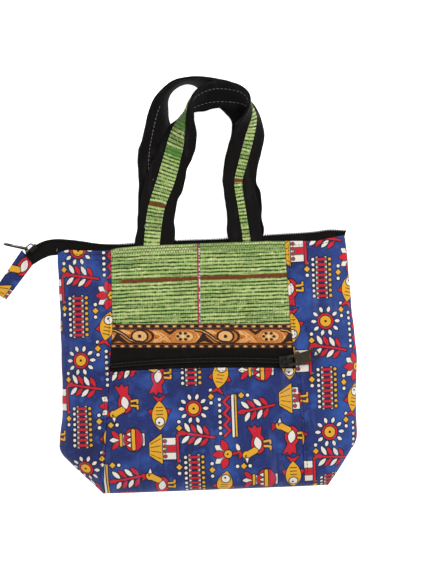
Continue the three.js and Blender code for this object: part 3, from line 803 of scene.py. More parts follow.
class PrintPlate:
    """Distances from the edges of printed shapes, in millimetres and negative inside them."""

    FAR = 9.0

    def __init__(self, across: Grid, along: Grid) -> None:
        """Starts with bare cloth.

        Args:
            across: Places of the cloth's points across the flat cloth.
            along: Places along it.
        """
        self.shape = across.shape
        self.points = np.stack([across.ravel(), along.ravel()])
        self.layers = {ink: np.full(across.size, self.FAR) for ink in Ink}
        self.near = np.arange(across.size)
        self.x, self.y = self.points

    def at(self, x: float, y: float, turn: float, flip: int = 1, reach: float = 21) -> bool:
        """Moves to the place of one motif.

        Args:
            x: Place across.
            y: Place along.
            turn: Turn in degrees.
            flip: -1 for a mirrored motif.
            reach: Distance from its middle that the motif reaches.

        Returns:
            Whether any cloth lies there.
        """
        dx, dy = self.points[0] - x, self.points[1] - y
        self.near = np.nonzero((np.abs(dx) < reach) & (np.abs(dy) < reach))[0]
        c, s = math.cos(math.radians(turn)), math.sin(math.radians(turn))
        self.x = flip * (dx[self.near] * c + dy[self.near] * s)
        self.y = dy[self.near] * c - dx[self.near] * s
        return self.near.size > 0

    def press(self, ink: Ink, distance: Grid) -> None:
        """Adds a shape to a layer."""
        layer = self.layers[ink]
        layer[self.near] = np.minimum(layer[self.near], distance)

    def oval(self, ink: Ink, x: float, y: float, wide: float, high: float) -> None:
        """An oval with its half sizes."""
        share = np.hypot((self.x - x) / wide, (self.y - y) / high) - 1
        self.press(ink, share * min(wide, high))

    def disc(self, ink: Ink, x: float, y: float, radius: float) -> None:
        """A disc."""
        self.oval(ink, x, y, radius, radius)

    def axis(self, start: Pair, end: Pair) -> tuple[Grid, Grid, float]:
        """Share along a line, distance aside from it, and its length."""
        dx, dy = end[0] - start[0], end[1] - start[1]
        length = math.hypot(dx, dy)
        share = ((self.x - start[0]) * dx + (self.y - start[1]) * dy) / length ** 2
        aside = ((self.y - start[1]) * dx - (self.x - start[0]) * dy) / length
        return share, aside, length

    def bar(self, ink: Ink, start: Pair, end: Pair, half: float) -> None:
        """A bar with round ends and its half width."""
        share, aside, length = self.axis(start, end)
        beyond = (share - np.clip(share, 0, 1)) * length
        self.press(ink, np.hypot(aside, beyond) - half)

    def leaf(self, ink: Ink, start: Pair, end: Pair, half: float) -> None:
        """A pointed leaf and its half width."""
        share, aside, length = self.axis(start, end)
        inside = np.clip(share, 0, 1)
        beyond = np.abs(share - inside) * length
        self.press(ink, np.abs(aside) - half * (1 - (2 * inside - 1) ** 2) + beyond)

    def shape_of(self, ink: Ink, corners: Sequence[Pair]) -> None:
        """A shape with straight sides."""
        nearest = np.full(self.x.size, np.inf)
        sign = np.ones(self.x.size)
        for (ax, ay), (bx, by) in zip(corners, [*corners[1:], corners[0]]):
            ex, ey = bx - ax, by - ay
            wx, wy = self.x - ax, self.y - ay
            share = np.clip((wx * ex + wy * ey) / (ex * ex + ey * ey), 0, 1)
            nearest = np.minimum(nearest, (wx - ex * share) ** 2 + (wy - ey * share) ** 2)
            above, below = self.y >= ay, self.y < by
            turning = ex * wy > ey * wx
            crossing = (above & below & turning) | (~above & ~below & ~turning)
            sign = np.where(crossing, -sign, sign)
        self.press(ink, sign * np.sqrt(nearest))

    def values(self) -> dict[str, Grid]:
        """The layers as attributes on the grid."""
        return {ink.value: layer.reshape(self.shape) for ink, layer in self.layers.items()}


def print_bird(plate: PrintPlate) -> None:
    """A long-tailed bird on two legs."""
    plate.shape_of(Ink.RED, [(-5, 3), (-14, 8), (-12.5, 4), (-15.5, 2.4), (-12.6, 0.4), (-14, -3), (-5, -2)])
    plate.oval(Ink.RED, 0, 0, 7.6, 5.4)
    plate.leaf(Ink.TOP_CREAM, (-5.5, 1.2), (4.5, -0.8), 2.8)
    plate.bar(Ink.YELLOW, (5, 2.5), (8, 8.2), 2.3)
    plate.disc(Ink.YELLOW, 8.6, 9.4, 3)
    plate.shape_of(Ink.TOP_CREAM, [(11, 10.6), (15, 9), (11, 8)])
    plate.disc(Ink.TOP_DARK, 9.2, 10.1, 0.8)
    for hip, toe in ((-1.5, -2.2), (2, 2.4)):
        plate.bar(Ink.YELLOW, (hip, -5), (toe, -9.6), 0.8)
        plate.bar(Ink.YELLOW, (toe, -9.8), (toe + 2.2, -9.8), 0.7)
    for lean in (-1.6, 0.6, 2.8):
        plate.bar(Ink.RED, (8, 12.4), (7.4 + lean, 15.2), 0.6)


def print_fish(plate: PrintPlate) -> None:
    """A striped fish."""
    plate.shape_of(Ink.RED, [(-8, 0), (-14.5, 5.4), (-12, 0), (-14.5, -5.4)])
    for hand in (-1, 1):
        plate.shape_of(Ink.RED, [(-4, hand * 4), (4.5, hand * 4.4), (-2.5, hand * 9)])
    plate.leaf(Ink.YELLOW, (-10, 0), (13, 0), 6)
    plate.disc(Ink.TOP_CREAM, 6.4, 0, 3.2)
    plate.disc(Ink.TOP_DARK, 7.2, 0.6, 0.9)
    for x in (-5, -2.2, 0.6):
        plate.bar(Ink.TOP_DARK, (x, -2.6), (x, 2.6), 0.35)


def print_pot(plate: PrintPlate) -> None:
    """A round pot with three leaves."""
    plate.oval(Ink.RED, 0, -4.5, 9, 7.2)
    plate.bar(Ink.YELLOW, (-7.2, -4.5), (7.2, -4.5), 1.3)
    for x in (-4.4, 0, 4.4):
        plate.shape_of(Ink.TOP_CREAM, [(x - 1.6, -2.2), (x + 1.6, -2.2), (x, 0.9)])
    plate.bar(Ink.CREAM, (-2.8, 3.2), (2.8, 3.2), 1.4)
    plate.bar(Ink.YELLOW, (-4.4, 5.4), (4.4, 5.4), 0.9)
    plate.bar(Ink.CREAM, (-4, -12.4), (4, -12.4), 0.9)
    plate.leaf(Ink.CREAM, (0, 6.8), (0, 14.5), 1.9)
    for hand in (-1, 1):
        plate.leaf(Ink.RED, (hand, 6.8), (hand * 7.5, 12.6), 1.8)


def print_sun(plate: PrintPlate) -> None:
    """A sun with leaf-shaped rays."""
    plate.disc(Ink.RED, 0, 0, 6.2)
    plate.disc(Ink.YELLOW, 0, 0, 4.2)
    plate.disc(Ink.TOP_DARK, 0, 0, 1)
    for k in range(10):
        c, s = math.cos(math.tau * k / 10), math.sin(math.tau * k / 10)
        plate.leaf(Ink.CREAM, (7.2 * c, 7.2 * s), (12 * c, 12 * s), 1.3)


def print_hut(plate: PrintPlate) -> None:
    """A hut with a thatched roof."""
    plate.shape_of(Ink.CREAM, [(-8.5, -10), (8.5, -10), (8.5, 1), (-8.5, 1)])
    plate.shape_of(Ink.RED, [(-2.4, -10), (2.4, -10), (2.4, -3), (-2.4, -3)])
    plate.shape_of(Ink.YELLOW, [(-12, 1), (12, 1), (5, 11), (-5, 11)])
    for x in (-6, -2, 2, 6):
        plate.bar(Ink.TOP_DARK, (x * 1.35, 2), (x * 0.7, 10), 0.3)
        plate.disc(Ink.RED, x * 1.02, -1.4, 0.9)
    plate.bar(Ink.RED, (-10.5, -11.4), (10.5, -11.4), 0.8)


def print_ladder(plate: PrintPlate) -> None:
    """Two rails with rungs and a row of dots."""
    for x in (-3.4, 3.4):
        plate.bar(Ink.CREAM, (x, -16), (x, 16), 0.9)
    for k in range(8):
        y = -14.7 + 4.2 * k
        plate.bar(Ink.RED, (-2.6, y), (2.6, y), 1)
        plate.disc(Ink.YELLOW, 6.8, y, 1.2)
        plate.disc(Ink.CREAM, -6.8, y, 1.2)


def print_zigzag(plate: PrintPlate) -> None:
    """A zigzag between a rail and a row of dots."""
    for k in range(7):
        y = -15.75 + 4.5 * k
        lean = 2.2 if k % 2 else -2.2
        plate.bar(Ink.RED, (lean, y), (-lean, y + 4.5), 0.95)
        plate.disc(Ink.CREAM, -5.4, y + 2.2, 1.25)
    plate.bar(Ink.CREAM, (5, -16), (5, 16), 0.9)
    plate.bar(Ink.YELLOW, (7.4, -16), (7.4, 16), 0.6)


def print_fern(plate: PrintPlate) -> None:
    """A stem with pairs of leaves."""
    plate.bar(Ink.RED, (0, -14), (0, 9), 0.8)
    plate.leaf(Ink.RED, (0, 8), (0, 16), 1.8)
    for k in range(4):
        y = -9 + 5 * k
        ink = Ink.CREAM if k % 2 else Ink.RED
        for hand in (-1, 1):
            plate.leaf(ink, (hand * 1.2, y), (hand * 8.2, y + 5.2), 1.6)


def print_lotus(plate: PrintPlate) -> None:
    """A flower of five petals on a curved stem."""
    for k, lean in enumerate((-68, -34, 0, 34, 68)):
        c, s = math.cos(math.radians(lean)), math.sin(math.radians(lean))
        plate.leaf(Ink.CREAM if k % 2 else Ink.RED, (2 * s, 2 * c), (12.5 * s, 12.5 * c), 2.7)
    plate.disc(Ink.YELLOW, 0, 0, 3)
    plate.disc(Ink.TOP_DARK, 0, 0.4, 0.8)
    plate.bar(Ink.RED, (0, -3.4), (1.2, -9.5), 0.8)
    plate.leaf(Ink.CREAM, (1.4, -9), (8, -7), 1.5)


def print_speck(plate: PrintPlate) -> None:
    """A small diamond between dots."""
    plate.shape_of(Ink.YELLOW, [(-2.4, 0), (0, -2.4), (2.4, 0), (0, 2.4)])
    for hand in (-1, 1):
        plate.disc(Ink.CREAM, 5 * hand, 0, 1.3)


class Motif(Enum):
    """Motifs of the print, each by the function that draws it."""

    BIRD = member(print_bird)
    FISH = member(print_fish)
    POT = member(print_pot)
    SUN = member(print_sun)
    HUT = member(print_hut)
    LADDER = member(print_ladder)
    ZIGZAG = member(print_zigzag)
    FERN = member(print_fern)
    LOTUS = member(print_lotus)
    SPECK = member(print_speck)


@dataclass(frozen=True)
class FolkPrint:
    """The repeat of the printed cotton, sideways as the cloth was cut."""

    width: float = 104
    height: float = 88
    drop: float = 36
    scale: float = 1.18
    # Motif, place across and along the repeat, turn and flip
    layout: tuple[tuple[Motif, float, float, float, int], ...] = (
        (Motif.BIRD, 13, 16, 90, 1),
        (Motif.HUT, 15, 46, 90, 1),
        (Motif.FISH, 13, 74, 90, -1),
        (Motif.LADDER, 39, 24, 0, 1),
        (Motif.FERN, 42, 56, 80, 1),
        (Motif.SUN, 40, 77, 0, 1),
        (Motif.FISH, 62, 14, 78, 1),
        (Motif.LOTUS, 66, 40, 90, 1),
        (Motif.ZIGZAG, 66, 70, 0, 1),
        (Motif.POT, 91, 18, 90, 1),
        (Motif.BIRD, 90, 47, 90, -1),
        (Motif.FERN, 90, 75, 100, -1),
        (Motif.SPECK, 27, 31, 90, 1),
        (Motif.SPECK, 53, 28, 90, 1),
        (Motif.SPECK, 78, 30, 0, 1),
        (Motif.SPECK, 28, 62, 90, 1),
        (Motif.SPECK, 78, 86, 0, 1),
        (Motif.SPECK, 54, 86, 90, 1),
    )

    def press(self, across: Grid, along: Grid, shift: Pair) -> dict[str, Grid]:
        """Prints a cloth.

        Args:
            across: Places of its points across the flat cloth.
            along: Places along it.
            shift: Where the repeat starts on this piece.

        Returns:
            Attributes for the cloth's points.
        """
        across, along = (across - shift[0]) / self.scale, (along - shift[1]) / self.scale
        plate = PrintPlate(across, along)
        columns = range(math.floor(across.min() / self.width) - 1, math.ceil(across.max() / self.width) + 1)
        rows = range(math.floor(along.min() / self.height) - 2, math.ceil(along.max() / self.height) + 1)
        for column in columns:
            for row in rows:
                left = column * self.width
                foot = row * self.height + (column % 2) * self.drop
                for motif, x, y, turn, flip in self.layout:
                    if plate.at(left + x, foot + y, turn, flip):
                        motif.value(plate)
        return plate.values()


@dataclass(frozen=True)
class PrintedCotton:
    """Blue cotton with an outlined print in red, yellow and off-white."""

    ground: Colour = srgb(27, 41, 99)
    # Paler blue: faded dye, and painted light on folds and towards the right
    faded_and_lit: Colour = srgb(50, 90, 170)
    # Darker blue of the painted shade
    painted_shade_blue: Colour = srgb(20, 22, 52)
    # Light greyish blue of the painted highlights along creases
    crease: Colour = srgb(104, 122, 172)
    line: Colour = srgb(20, 15, 20)
    rubbed: Colour = srgb(150, 148, 158)
    inks: tuple[tuple[Ink, Colour], ...] = (
        (Ink.CREAM, srgb(214, 208, 198)),
        (Ink.RED, srgb(186, 22, 42)),
        (Ink.YELLOW, srgb(210, 154, 34)),
        (Ink.TOP_CREAM, srgb(214, 208, 198)),
        (Ink.TOP_DARK, srgb(24, 17, 20)),
    )
    line_width: float = 0.88
    # Place across from which the blue is painted lighter towards the right
    painted_light_from: float = 94
    edge: float = 0.3
    thread: float = 0.55

    def make(self) -> Material:
        """The finish as a material."""
        paint = Paint("printed_cotton")
        clouds = paint.noise(26, 3)
        # Paler blue in broad clouds: partly faded dye, partly painted light on the cloth's soft folds.
        fade_and_light = ((clouds - 0.5) * 3.4).held()
        # Painted shadow: broad patches of darker blue where the cloth would lie in shade.
        shadow = paint.patches(40, 2, 0.46, -3.2)
        colour = paint.layer(self.ground, self.faded_and_lit, fade_and_light * 0.8)
        colour = paint.layer(colour, self.painted_shade_blue, shadow * 0.8)
        # Painted highlights: smaller paler patches stand for light on wrinkles.
        colour = paint.layer(colour, self.faded_and_lit, paint.patches(9, 3, 0.56, 6) * 0.5)
        # Painted shade: smaller darker patches stand for shade in wrinkles.
        colour = paint.layer(colour, self.painted_shade_blue, paint.patches(13, 2, 0.42, -6) * 0.5)
        # Painted light: the blue grows paler towards the right of the bag, where that side faces the light.
        painted_light = ((paint.along("X") - self.painted_light_from) * 0.03).held()
        colour = paint.layer(colour, self.faded_and_lit, painted_light * (clouds * 0.6))
        uneven = (paint.noise(1.6, 1) - 0.5) * 0.22
        for ink, tint in self.inks:
            distance = paint.attribute(ink.value) + uneven
            if ink is not Ink.TOP_DARK:
                outline = (0.5 - (distance - self.line_width) / self.edge).held()
                colour = paint.layer(colour, self.line, outline * 0.9)
            colour = paint.layer(colour, tint, (0.5 - distance / self.edge).held())
        colour = paint.layer(colour, self.rubbed, paint.patches(0.9, 2, 0.55, 2.4) * 0.18)
        # Painted highlights: long light greyish-blue streaks stand for light caught along creases.
        painted_crease_highlights = paint.patches(15, 3, 0.58, 5, (1.7, 0.4, 1))
        colour = paint.layer(colour, self.crease, painted_crease_highlights * 0.2)
        return paint.dress(Base_Color=colour, Roughness=0.82, Sheen_Weight=0.12, Sheen_Roughness=0.4,
                           Specular_IOR_Level=0.25, Normal=paint.woven(self.thread, 5, 0.5))


class Tubes:
    """Many short tubes joined in one mesh."""

    SIDES = 6
    END = 0.55

    def __init__(self) -> None:
        """Starts with no tube."""
        self.points: list[Grid] = []
        self.faces: list[list[int]] = []
        self.count = 0

    def add(self, route: Grid, radius: float, flat: float = 1, up: Sequence[float] = (0, 0, 1)) -> None:
        """Adds a tube along points, with pointed round ends.

        Args:
            route: Points of its middle line.
            radius: Half its width.
            flat: Height of its section as a share of its width.
            up: Way that its height is measured in.
        """
        heading = unit(np.gradient(route, axis=0))
        side = unit(np.cross(heading, np.broadcast_to(np.asarray(up, float), heading.shape)))
        rise = np.cross(side, heading)
        turns = np.arange(self.SIDES) * math.tau / self.SIDES
        swell = np.ones(len(route))
        swell[[0, -1]] = self.END
        cosines, sines = np.cos(turns)[None, :, None], np.sin(turns)[None, :, None]
        ring = side[:, None] * cosines + rise[:, None] * (flat * sines)
        body = route[:, None] + ring * (radius * swell)[:, None, None]
        start, rows = self.count, len(route)
        for k in range(rows - 1):
            for c in range(self.SIDES):
                a, b = start + k * self.SIDES + c, start + k * self.SIDES + (c + 1) % self.SIDES
                self.faces.append([a, a + self.SIDES, b + self.SIDES, b])
        self.faces.append([start + c for c in range(self.SIDES)])
        self.faces.append([start + (rows - 1) * self.SIDES + c for c in reversed(range(self.SIDES))])
        self.points.append(body.reshape(-1, 3))
        self.count += rows * self.SIDES

    def build(self, name: str) -> bpy.types.Object:
        """Makes the joined mesh."""
        return new_object(name, np.concatenate(self.points), self.faces, crease=70)


@dataclass(frozen=True)
class SewingThread:
    """Spun thread in one colour."""

    name: str
    colour: Colour
    fuzz: Colour

    def make(self) -> Material:
        """The finish as a material."""
        paint = Paint(self.name)
        colour = paint.layer(self.colour, self.fuzz, paint.noise(1.4, 2))
        return paint.dress(Base_Color=colour, Roughness=0.75, Specular_IOR_Level=0.2,
                           Normal=paint.bump(paint.noise(0.4, 1), 0.1, 0.4))


@dataclass
class Stitching:
    """Rows of machine stitches in one thread."""

    thread: Material
    pitch: float = 3.8
    length: float = 2.7
    radius: float = 0.26
    seed: int = 5
    # Heights along a stitch, as shares of the thread's radius
    arch: Numbers = (-1, 0.3, 0.7, 0.3, -1)

    def build(self, name: str, routes: Sequence[tuple[Grid, Grid]]) -> None:
        """Sews along routes.

        Args:
            name: Name of the piece.
            routes: Close points of each row, and the ways out of the cloth at them.
        """
        draw = np.random.default_rng(self.seed)
        tubes = Tubes()
        for points, out in routes:
            run = run_along(points)
            for start in np.arange(0.5, run[-1] - self.length, self.pitch):
                places = start + draw.uniform(-0.2, 0.2) + np.linspace(0, self.length, len(self.arch))
                route = point_at(points, run, places)
                rise = point_at(out, run, places[len(places) // 2])
                route = route + np.outer(self.radius * np.array(self.arch), rise)
                tubes.add(route, self.radius, 0.8, rise)
        settle(tubes.build(name), self.thread)


@dataclass
class BodyPanels:
    """The printed panels of the body: back, two sides and the pocket."""

    finish: Material
    stitches: Stitching
    folk: FolkPrint = FolkPrint()
    front_pitch: float = 0.56
    back_pitch: float = 1.05
    side_width: float = 72
    pocket_size: Pair = (185, 122)
    back_size: Pair = (285, 235)
    side_seed: int = 20
    pocket_seed: int = 40
    # Ends of the row of stitches below the pocket zip
    pocket_row: Pair = (-89, 81)
    mouth_inset: float = 3.8
    seam_inset: float = 2.9
    stitch_lift: float = 0.1
    slot: str = "print_cotton"

    def add(self, name: str, wall: Wall, anchor: tuple[int, int], shift: Pair) -> None:
        """Prints, makes and settles one panel.

        Args:
            name: Name of the piece.
            wall: Its wall.
            anchor: Row and column of the grid from which the cloth lies flat.
            shift: Where the print starts.
        """
        across, along = flattened(wall.outer, *anchor)
        wall.values |= self.folk.press(across, along, shift)
        settle(wall.build(), self.finish, [name.removesuffix("_cotton")])

    def front_points(self, x: Grid, y: Grid, seams: Sequence[tuple[Grid, Grid]], seed: int) -> Grid:
        """Points of a front panel with the relief of its seams."""
        fade = FORM.rounding(x, y, FORM.front_roll, FORM.front_foot_roll)
        height = FORM.front(x, y) + RELIEF.at(x, y, seams, seed) * fade
        return np.stack([x, y, np.maximum(height, FORM.seam_height)], axis=-1)

    def sew(self, name: str, lines: Sequence[tuple[Grid, Grid]],
            seams_at: Callable[[Grid, Grid], list[tuple[Grid, Grid]]], seed: int) -> None:
        """Adds rows of stitches on a front panel.

        Args:
            name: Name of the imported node.
            lines: Places across and along of each row.
            seams_at: Distances from the panel's seams, as its own relief uses them.
            seed: Seed of the panel's relief.
        """
        routes = []
        for x, y in lines:
            points = self.front_points(x, y, seams_at(x, y), seed) + (0, 0, self.stitch_lift)
            routes.append((points, np.broadcast_to((0.0, 0.0, 1.0), points.shape)))
        self.stitches.build(f"{name}_stitches", routes)

    def side(self, name: str, edge: Callable[[Grid], Grid], seam: Callable[[Grid], Grid], hand: int,
             shift: Pair) -> None:
        """Adds a side panel.

        Args:
            name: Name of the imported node.
            edge: Outer side of the panel.
            seam: Its seam with the middle.
            hand: -1 for the left panel and 1 for the right one.
            shift: Where the print starts.
        """
        seed = self.side_seed + hand
        share = steps_of(self.side_width, self.front_pitch)
        across = 0.5 * share + 0.5 * (1 - np.cos(share * math.pi / 2))
        along = steps_of(FORM.mouth - FORM.bottom, self.front_pitch)
        x, y = FORM.between(edge, lambda level: seam(level) + hand * GAP / 2, across, along)

        def seams_at(x: Grid, y: Grid) -> list[tuple[Grid, Grid]]:
            """Distances from the panel's two seams."""
            return [(np.abs(x - seam(y)), y), (FORM.mouth_at(x) - y, x)]

        points = self.front_points(x, y, seams_at(x, y), seed)
        wall = Wall(name + "_cotton", points, CLOTH, side=-hand, level=FRONT_LEVEL)
        self.add(wall.name, wall, (-1, -1), shift)
        level = np.linspace(FORM.bottom + 15, FORM.mouth - 5, 300)
        across = np.linspace(edge(FORM.mouth) - 4 * hand, seam(FORM.mouth) + hand, 120)
        lines = [
            (seam(level) + hand * self.seam_inset, level),
            (across, FORM.mouth_at(across) - self.mouth_inset),
        ]
        self.sew(name, lines, seams_at, seed)

    def pocket(self) -> None:
        """Adds the panel below the pocket zip."""
        across, share = (steps_of(length, self.front_pitch) for length in self.pocket_size)
        along = 0.6 * share + 0.4 * share ** 2
        x, y = FORM.middle(FOOT_LINE, POCKET_TOP.moved(-GAP / 2), across, along)

        def seams_at(x: Grid, y: Grid) -> list[tuple[Grid, Grid]]:
            """Distances from the panel's three seams."""
            return [*FORM.side_seams(x, y), (POCKET_TOP.over(x) - y, x)]

        points = self.front_points(x, y, seams_at(x, y), self.pocket_seed)
        wall = Wall("pocket_panel_cotton", points, CLOTH, level=FRONT_LEVEL)
        self.add(wall.name, wall, (len(across) // 2, -1), (-61, -128))
        row = np.linspace(*self.pocket_row, 200)
        line = (row, POCKET_TOP.over(row) - self.seam_inset)
        self.sew("pocket_panel", [line], seams_at, self.pocket_seed)

    def back(self) -> None:
        """Adds the back."""
        across, along = (steps_of(length, self.back_pitch) for length in self.back_size)
        x, y = FORM.between(FORM.left_edge, FORM.right_edge, across, along)
        points = np.stack([x, y, FORM.back(x, y)], axis=-1)
        wall = Wall("back_panel_cotton", points, CLOTH, side=-1, level=(FORM.seam_height - GAP, -1))
        self.add(wall.name, wall, (len(x) // 2, -1), (-20, 6))

    def build(self) -> None:
        """Adds the panels."""
        self.back()
        self.side("side_panel_left", FORM.left_edge, FORM.left_seam, -1, (-165, 24))
        self.side("side_panel_right", FORM.right_edge, FORM.right_seam, 1, (66, 52))
        self.pocket()


@dataclass(frozen=True)
class Studio:
    """Pale floor, soft light and the camera straight above."""

    camera_place: tuple[float, float, float] = (0.0119, 0.0746, 0.920)
    camera_turn: float = -2.2
    lens: float = 60
    floor_colour: Colour = srgb(246, 246, 246)
    floor_shade: Colour = srgb(240, 240, 239)
    floor_glow: float = 0.8
    floor_size: float = 8
    floor_corner: float = 1.5
    sky: float = 0.62
    # Name, place in metres, width and power in watts of each lamp
    lamps: tuple[tuple[str, tuple[float, float, float], float, float], ...] = (
        ("key", (0.75, 0.85, 1.15), 0.9, 17),
        ("fill", (-0.9, -0.4, 1.3), 1.6, 8),
    )

    def floor(self) -> None:
        """Adds the floor, a broad plane with rounded corners."""
        bpy.ops.object.select_all(action="DESELECT")
        bpy.ops.mesh.primitive_plane_add(size=self.floor_size, location=(0, 0, 0))
        floor = bpy.context.object
        floor.name = "studio_floor"
        bpy.ops.object.mode_set(mode="EDIT")
        bpy.ops.mesh.bevel(offset=self.floor_corner, segments=8, affect="VERTICES")
        bpy.ops.object.mode_set(mode="OBJECT")
        paint = Paint("studio_floor")
        tint = paint.layer(self.floor_colour, self.floor_shade, paint.noise(180, 2))
        floor.data.materials.append(paint.dress(Base_Color=tint, Roughness=0.9, Specular_IOR_Level=0.1,
                                                Emission_Strength=self.floor_glow))

    def light(self, name: str, place: tuple[float, float, float], size: float, power: float) -> None:
        """Adds a soft lamp that looks at the bag.

        Args:
            name: Name of the lamp.
            place: Its place in metres.
            size: Width of its square.
            power: Power in watts.
        """
        lamp = bpy.data.lights.new(name, "AREA")
        lamp.size = size
        lamp.energy = power
        made = bpy.data.objects.new(name, lamp)
        made.location = place
        distance = math.dist(place, (0, 0, 0))
        made.rotation_euler = (math.acos(place[2] / distance), 0, math.atan2(place[0], -place[1]))
        bpy.context.scene.collection.objects.link(made)

    def build(self) -> None:
        """Adds the floor, the lights and the camera."""
        self.floor()
        world = bpy.data.worlds.new("studio")
        world.use_nodes = True
        background = world.node_tree.nodes["Background"]
        background.inputs["Color"].default_value = (1, 1, 1, 1)
        background.inputs["Strength"].default_value = self.sky
        bpy.context.scene.world = world
        for lamp in self.lamps:
            self.light(*lamp)
        bpy.context.scene.view_settings.view_transform = "Standard"
        camera = bpy.data.cameras.new("camera")
        camera.lens = self.lens
        made = bpy.data.objects.new("camera", camera)
        made.location = self.camera_place
        made.rotation_euler = (0, 0, math.radians(self.camera_turn))
        bpy.context.scene.collection.objects.link(made)
        bpy.context.scene.camera = made


@dataclass(frozen=True)
class HandloomCotton:
    """Green ribbed handloom cloth with uneven yarn."""

    light: Colour = srgb(170, 188, 114)
    mid: Colour = srgb(112, 156, 66)
    gap: Colour = srgb(26, 72, 12)
    cream: Colour = srgb(222, 214, 162)
    brown: Colour = srgb(144, 76, 34)
    dark_brown: Colour = srgb(38, 20, 10)
    red: Colour = srgb(166, 8, 34)
    blue: Colour = srgb(44, 40, 104)
    white: Colour = srgb(206, 202, 212)
    rib_pitch: float = 3.45
    warp_pitch: float = 1.6
    patch: Colour = srgb(58, 108, 36)
    speck: Colour = srgb(12, 24, 8)

    def values(self, along: Grid, across: Grid, seed: int) -> dict[str, Grid]:
        """Uneven yarn over a cloth.

        Args:
            along: Places along the way that the ribs follow one another.
            across: Places along the ribs.
            seed: Seed of the uneven yarn.

        Returns:
            The rib's height, the dark gap beside it, its tone and its cream slubs.
        """
        wander = 0.6 * Noise(seed, 46, 12)(across, along) + 0.34 * Noise(seed + 1, 7, 6)(across, along)
        count = (along + wander) / self.rib_pitch
        beside = np.abs(count - np.round(count)) * self.rib_pitch
        row = np.round(count)
        dotted = 0.45 * Noise(seed + 7, 1.3, 1)(across, row)
        strength = np.clip(1.0 + 0.45 * Noise(seed + 2, 15, 1)(across, row) + dotted, 0.15, 1.3)
        half_row = np.round(count + 0.5)
        split = np.abs(count + 0.5 - half_row) * self.rib_pitch
        weak = np.clip(0.9 * Noise(seed + 3, 22, 1)(across, half_row) - 0.15, 0, 0.55)
        gap = np.maximum(strength * np.exp(-(beside / 0.7) ** 2), weak * np.exp(-(split / 0.5) ** 2))
        tone = 0.55 + 0.3 * Noise(seed + 4, 20, 1)(across, np.floor(count))
        tone = tone + 0.25 * Noise(seed + 5, 2.6, 1.5)(across, along)
        slub = np.clip(3.2 * (Noise(seed + 6, 2.6, 1.3)(across, along) - 0.52), 0, 1)
        return {"gap": gap, "tone": tone, "slub": slub, "rib": (1 - gap) * 0.55}

    def make(self) -> Material:
        """The finish as a material."""
        paint = Paint("handloom_cotton")
        colour = paint.layer(self.mid, self.light, paint.attribute("tone").held())
        warp = (paint.attribute("warp") * (math.tau / self.warp_pitch)).wave()
        comb = ((warp + (paint.noise(2.4, 1) - 0.5) * 2.4) * 0.8).held()
        colour = paint.layer(colour, self.cream, comb * 0.5)
        colour = paint.layer(colour, self.cream, paint.attribute("slub") * 0.85)
        gap = (paint.attribute("gap") * (1.45 - comb * 0.75)).held()
        colour = paint.layer(colour, self.gap, gap)
        colour = paint.layer(colour, self.speck, gap * paint.patches(1.7, 1, 0.5, 7))
        colour = paint.layer(colour, self.patch, paint.attribute("plain") * 0.8)
        colour = paint.layer(colour, self.cream, paint.attribute("dots"))
        brown = paint.attribute("brown_line")
        bar = brown.band(1.7, 0.5)
        checks = (paint.attribute("warp") * (math.tau / 2.7)).wave() * (brown * (math.tau / 2.4)).wave()
        knots = (checks * 2.2 + (paint.noise(2, 2) - 0.5) * 2 + 0.35).held()
        colour = paint.layer(colour, self.patch, bar * 0.75)
        stripe = paint.layer(self.dark_brown, self.brown, knots)
        colour = paint.layer(colour, stripe, bar * paint.attribute("brown_share"))
        line = paint.attribute("warp_line")
        dashes = (paint.along("Y") * (math.tau / 2.6)).wave() * 0.6
        broken = (dashes + (paint.noise(2.2, 1, (0.2, 1, 1)) - 0.46) * 8).held()
        pale = (line - 1.45).band(0.62, 0.4)
        colour = paint.layer(colour, self.red, line.band(0.72, 0.4) * 0.92)
        colour = paint.layer(colour, paint.layer(self.blue, self.white, broken), pale * 0.95)
        fibre = paint.bump(paint.noise(0.8, 2), 0.35, 0.7)
        normal = paint.bump(comb, 0.22, 0.6, fibre)
        return paint.dress(Base_Color=colour, Roughness=0.9, Sheen_Weight=0.15,
                           Specular_IOR_Level=0.2, Normal=normal)


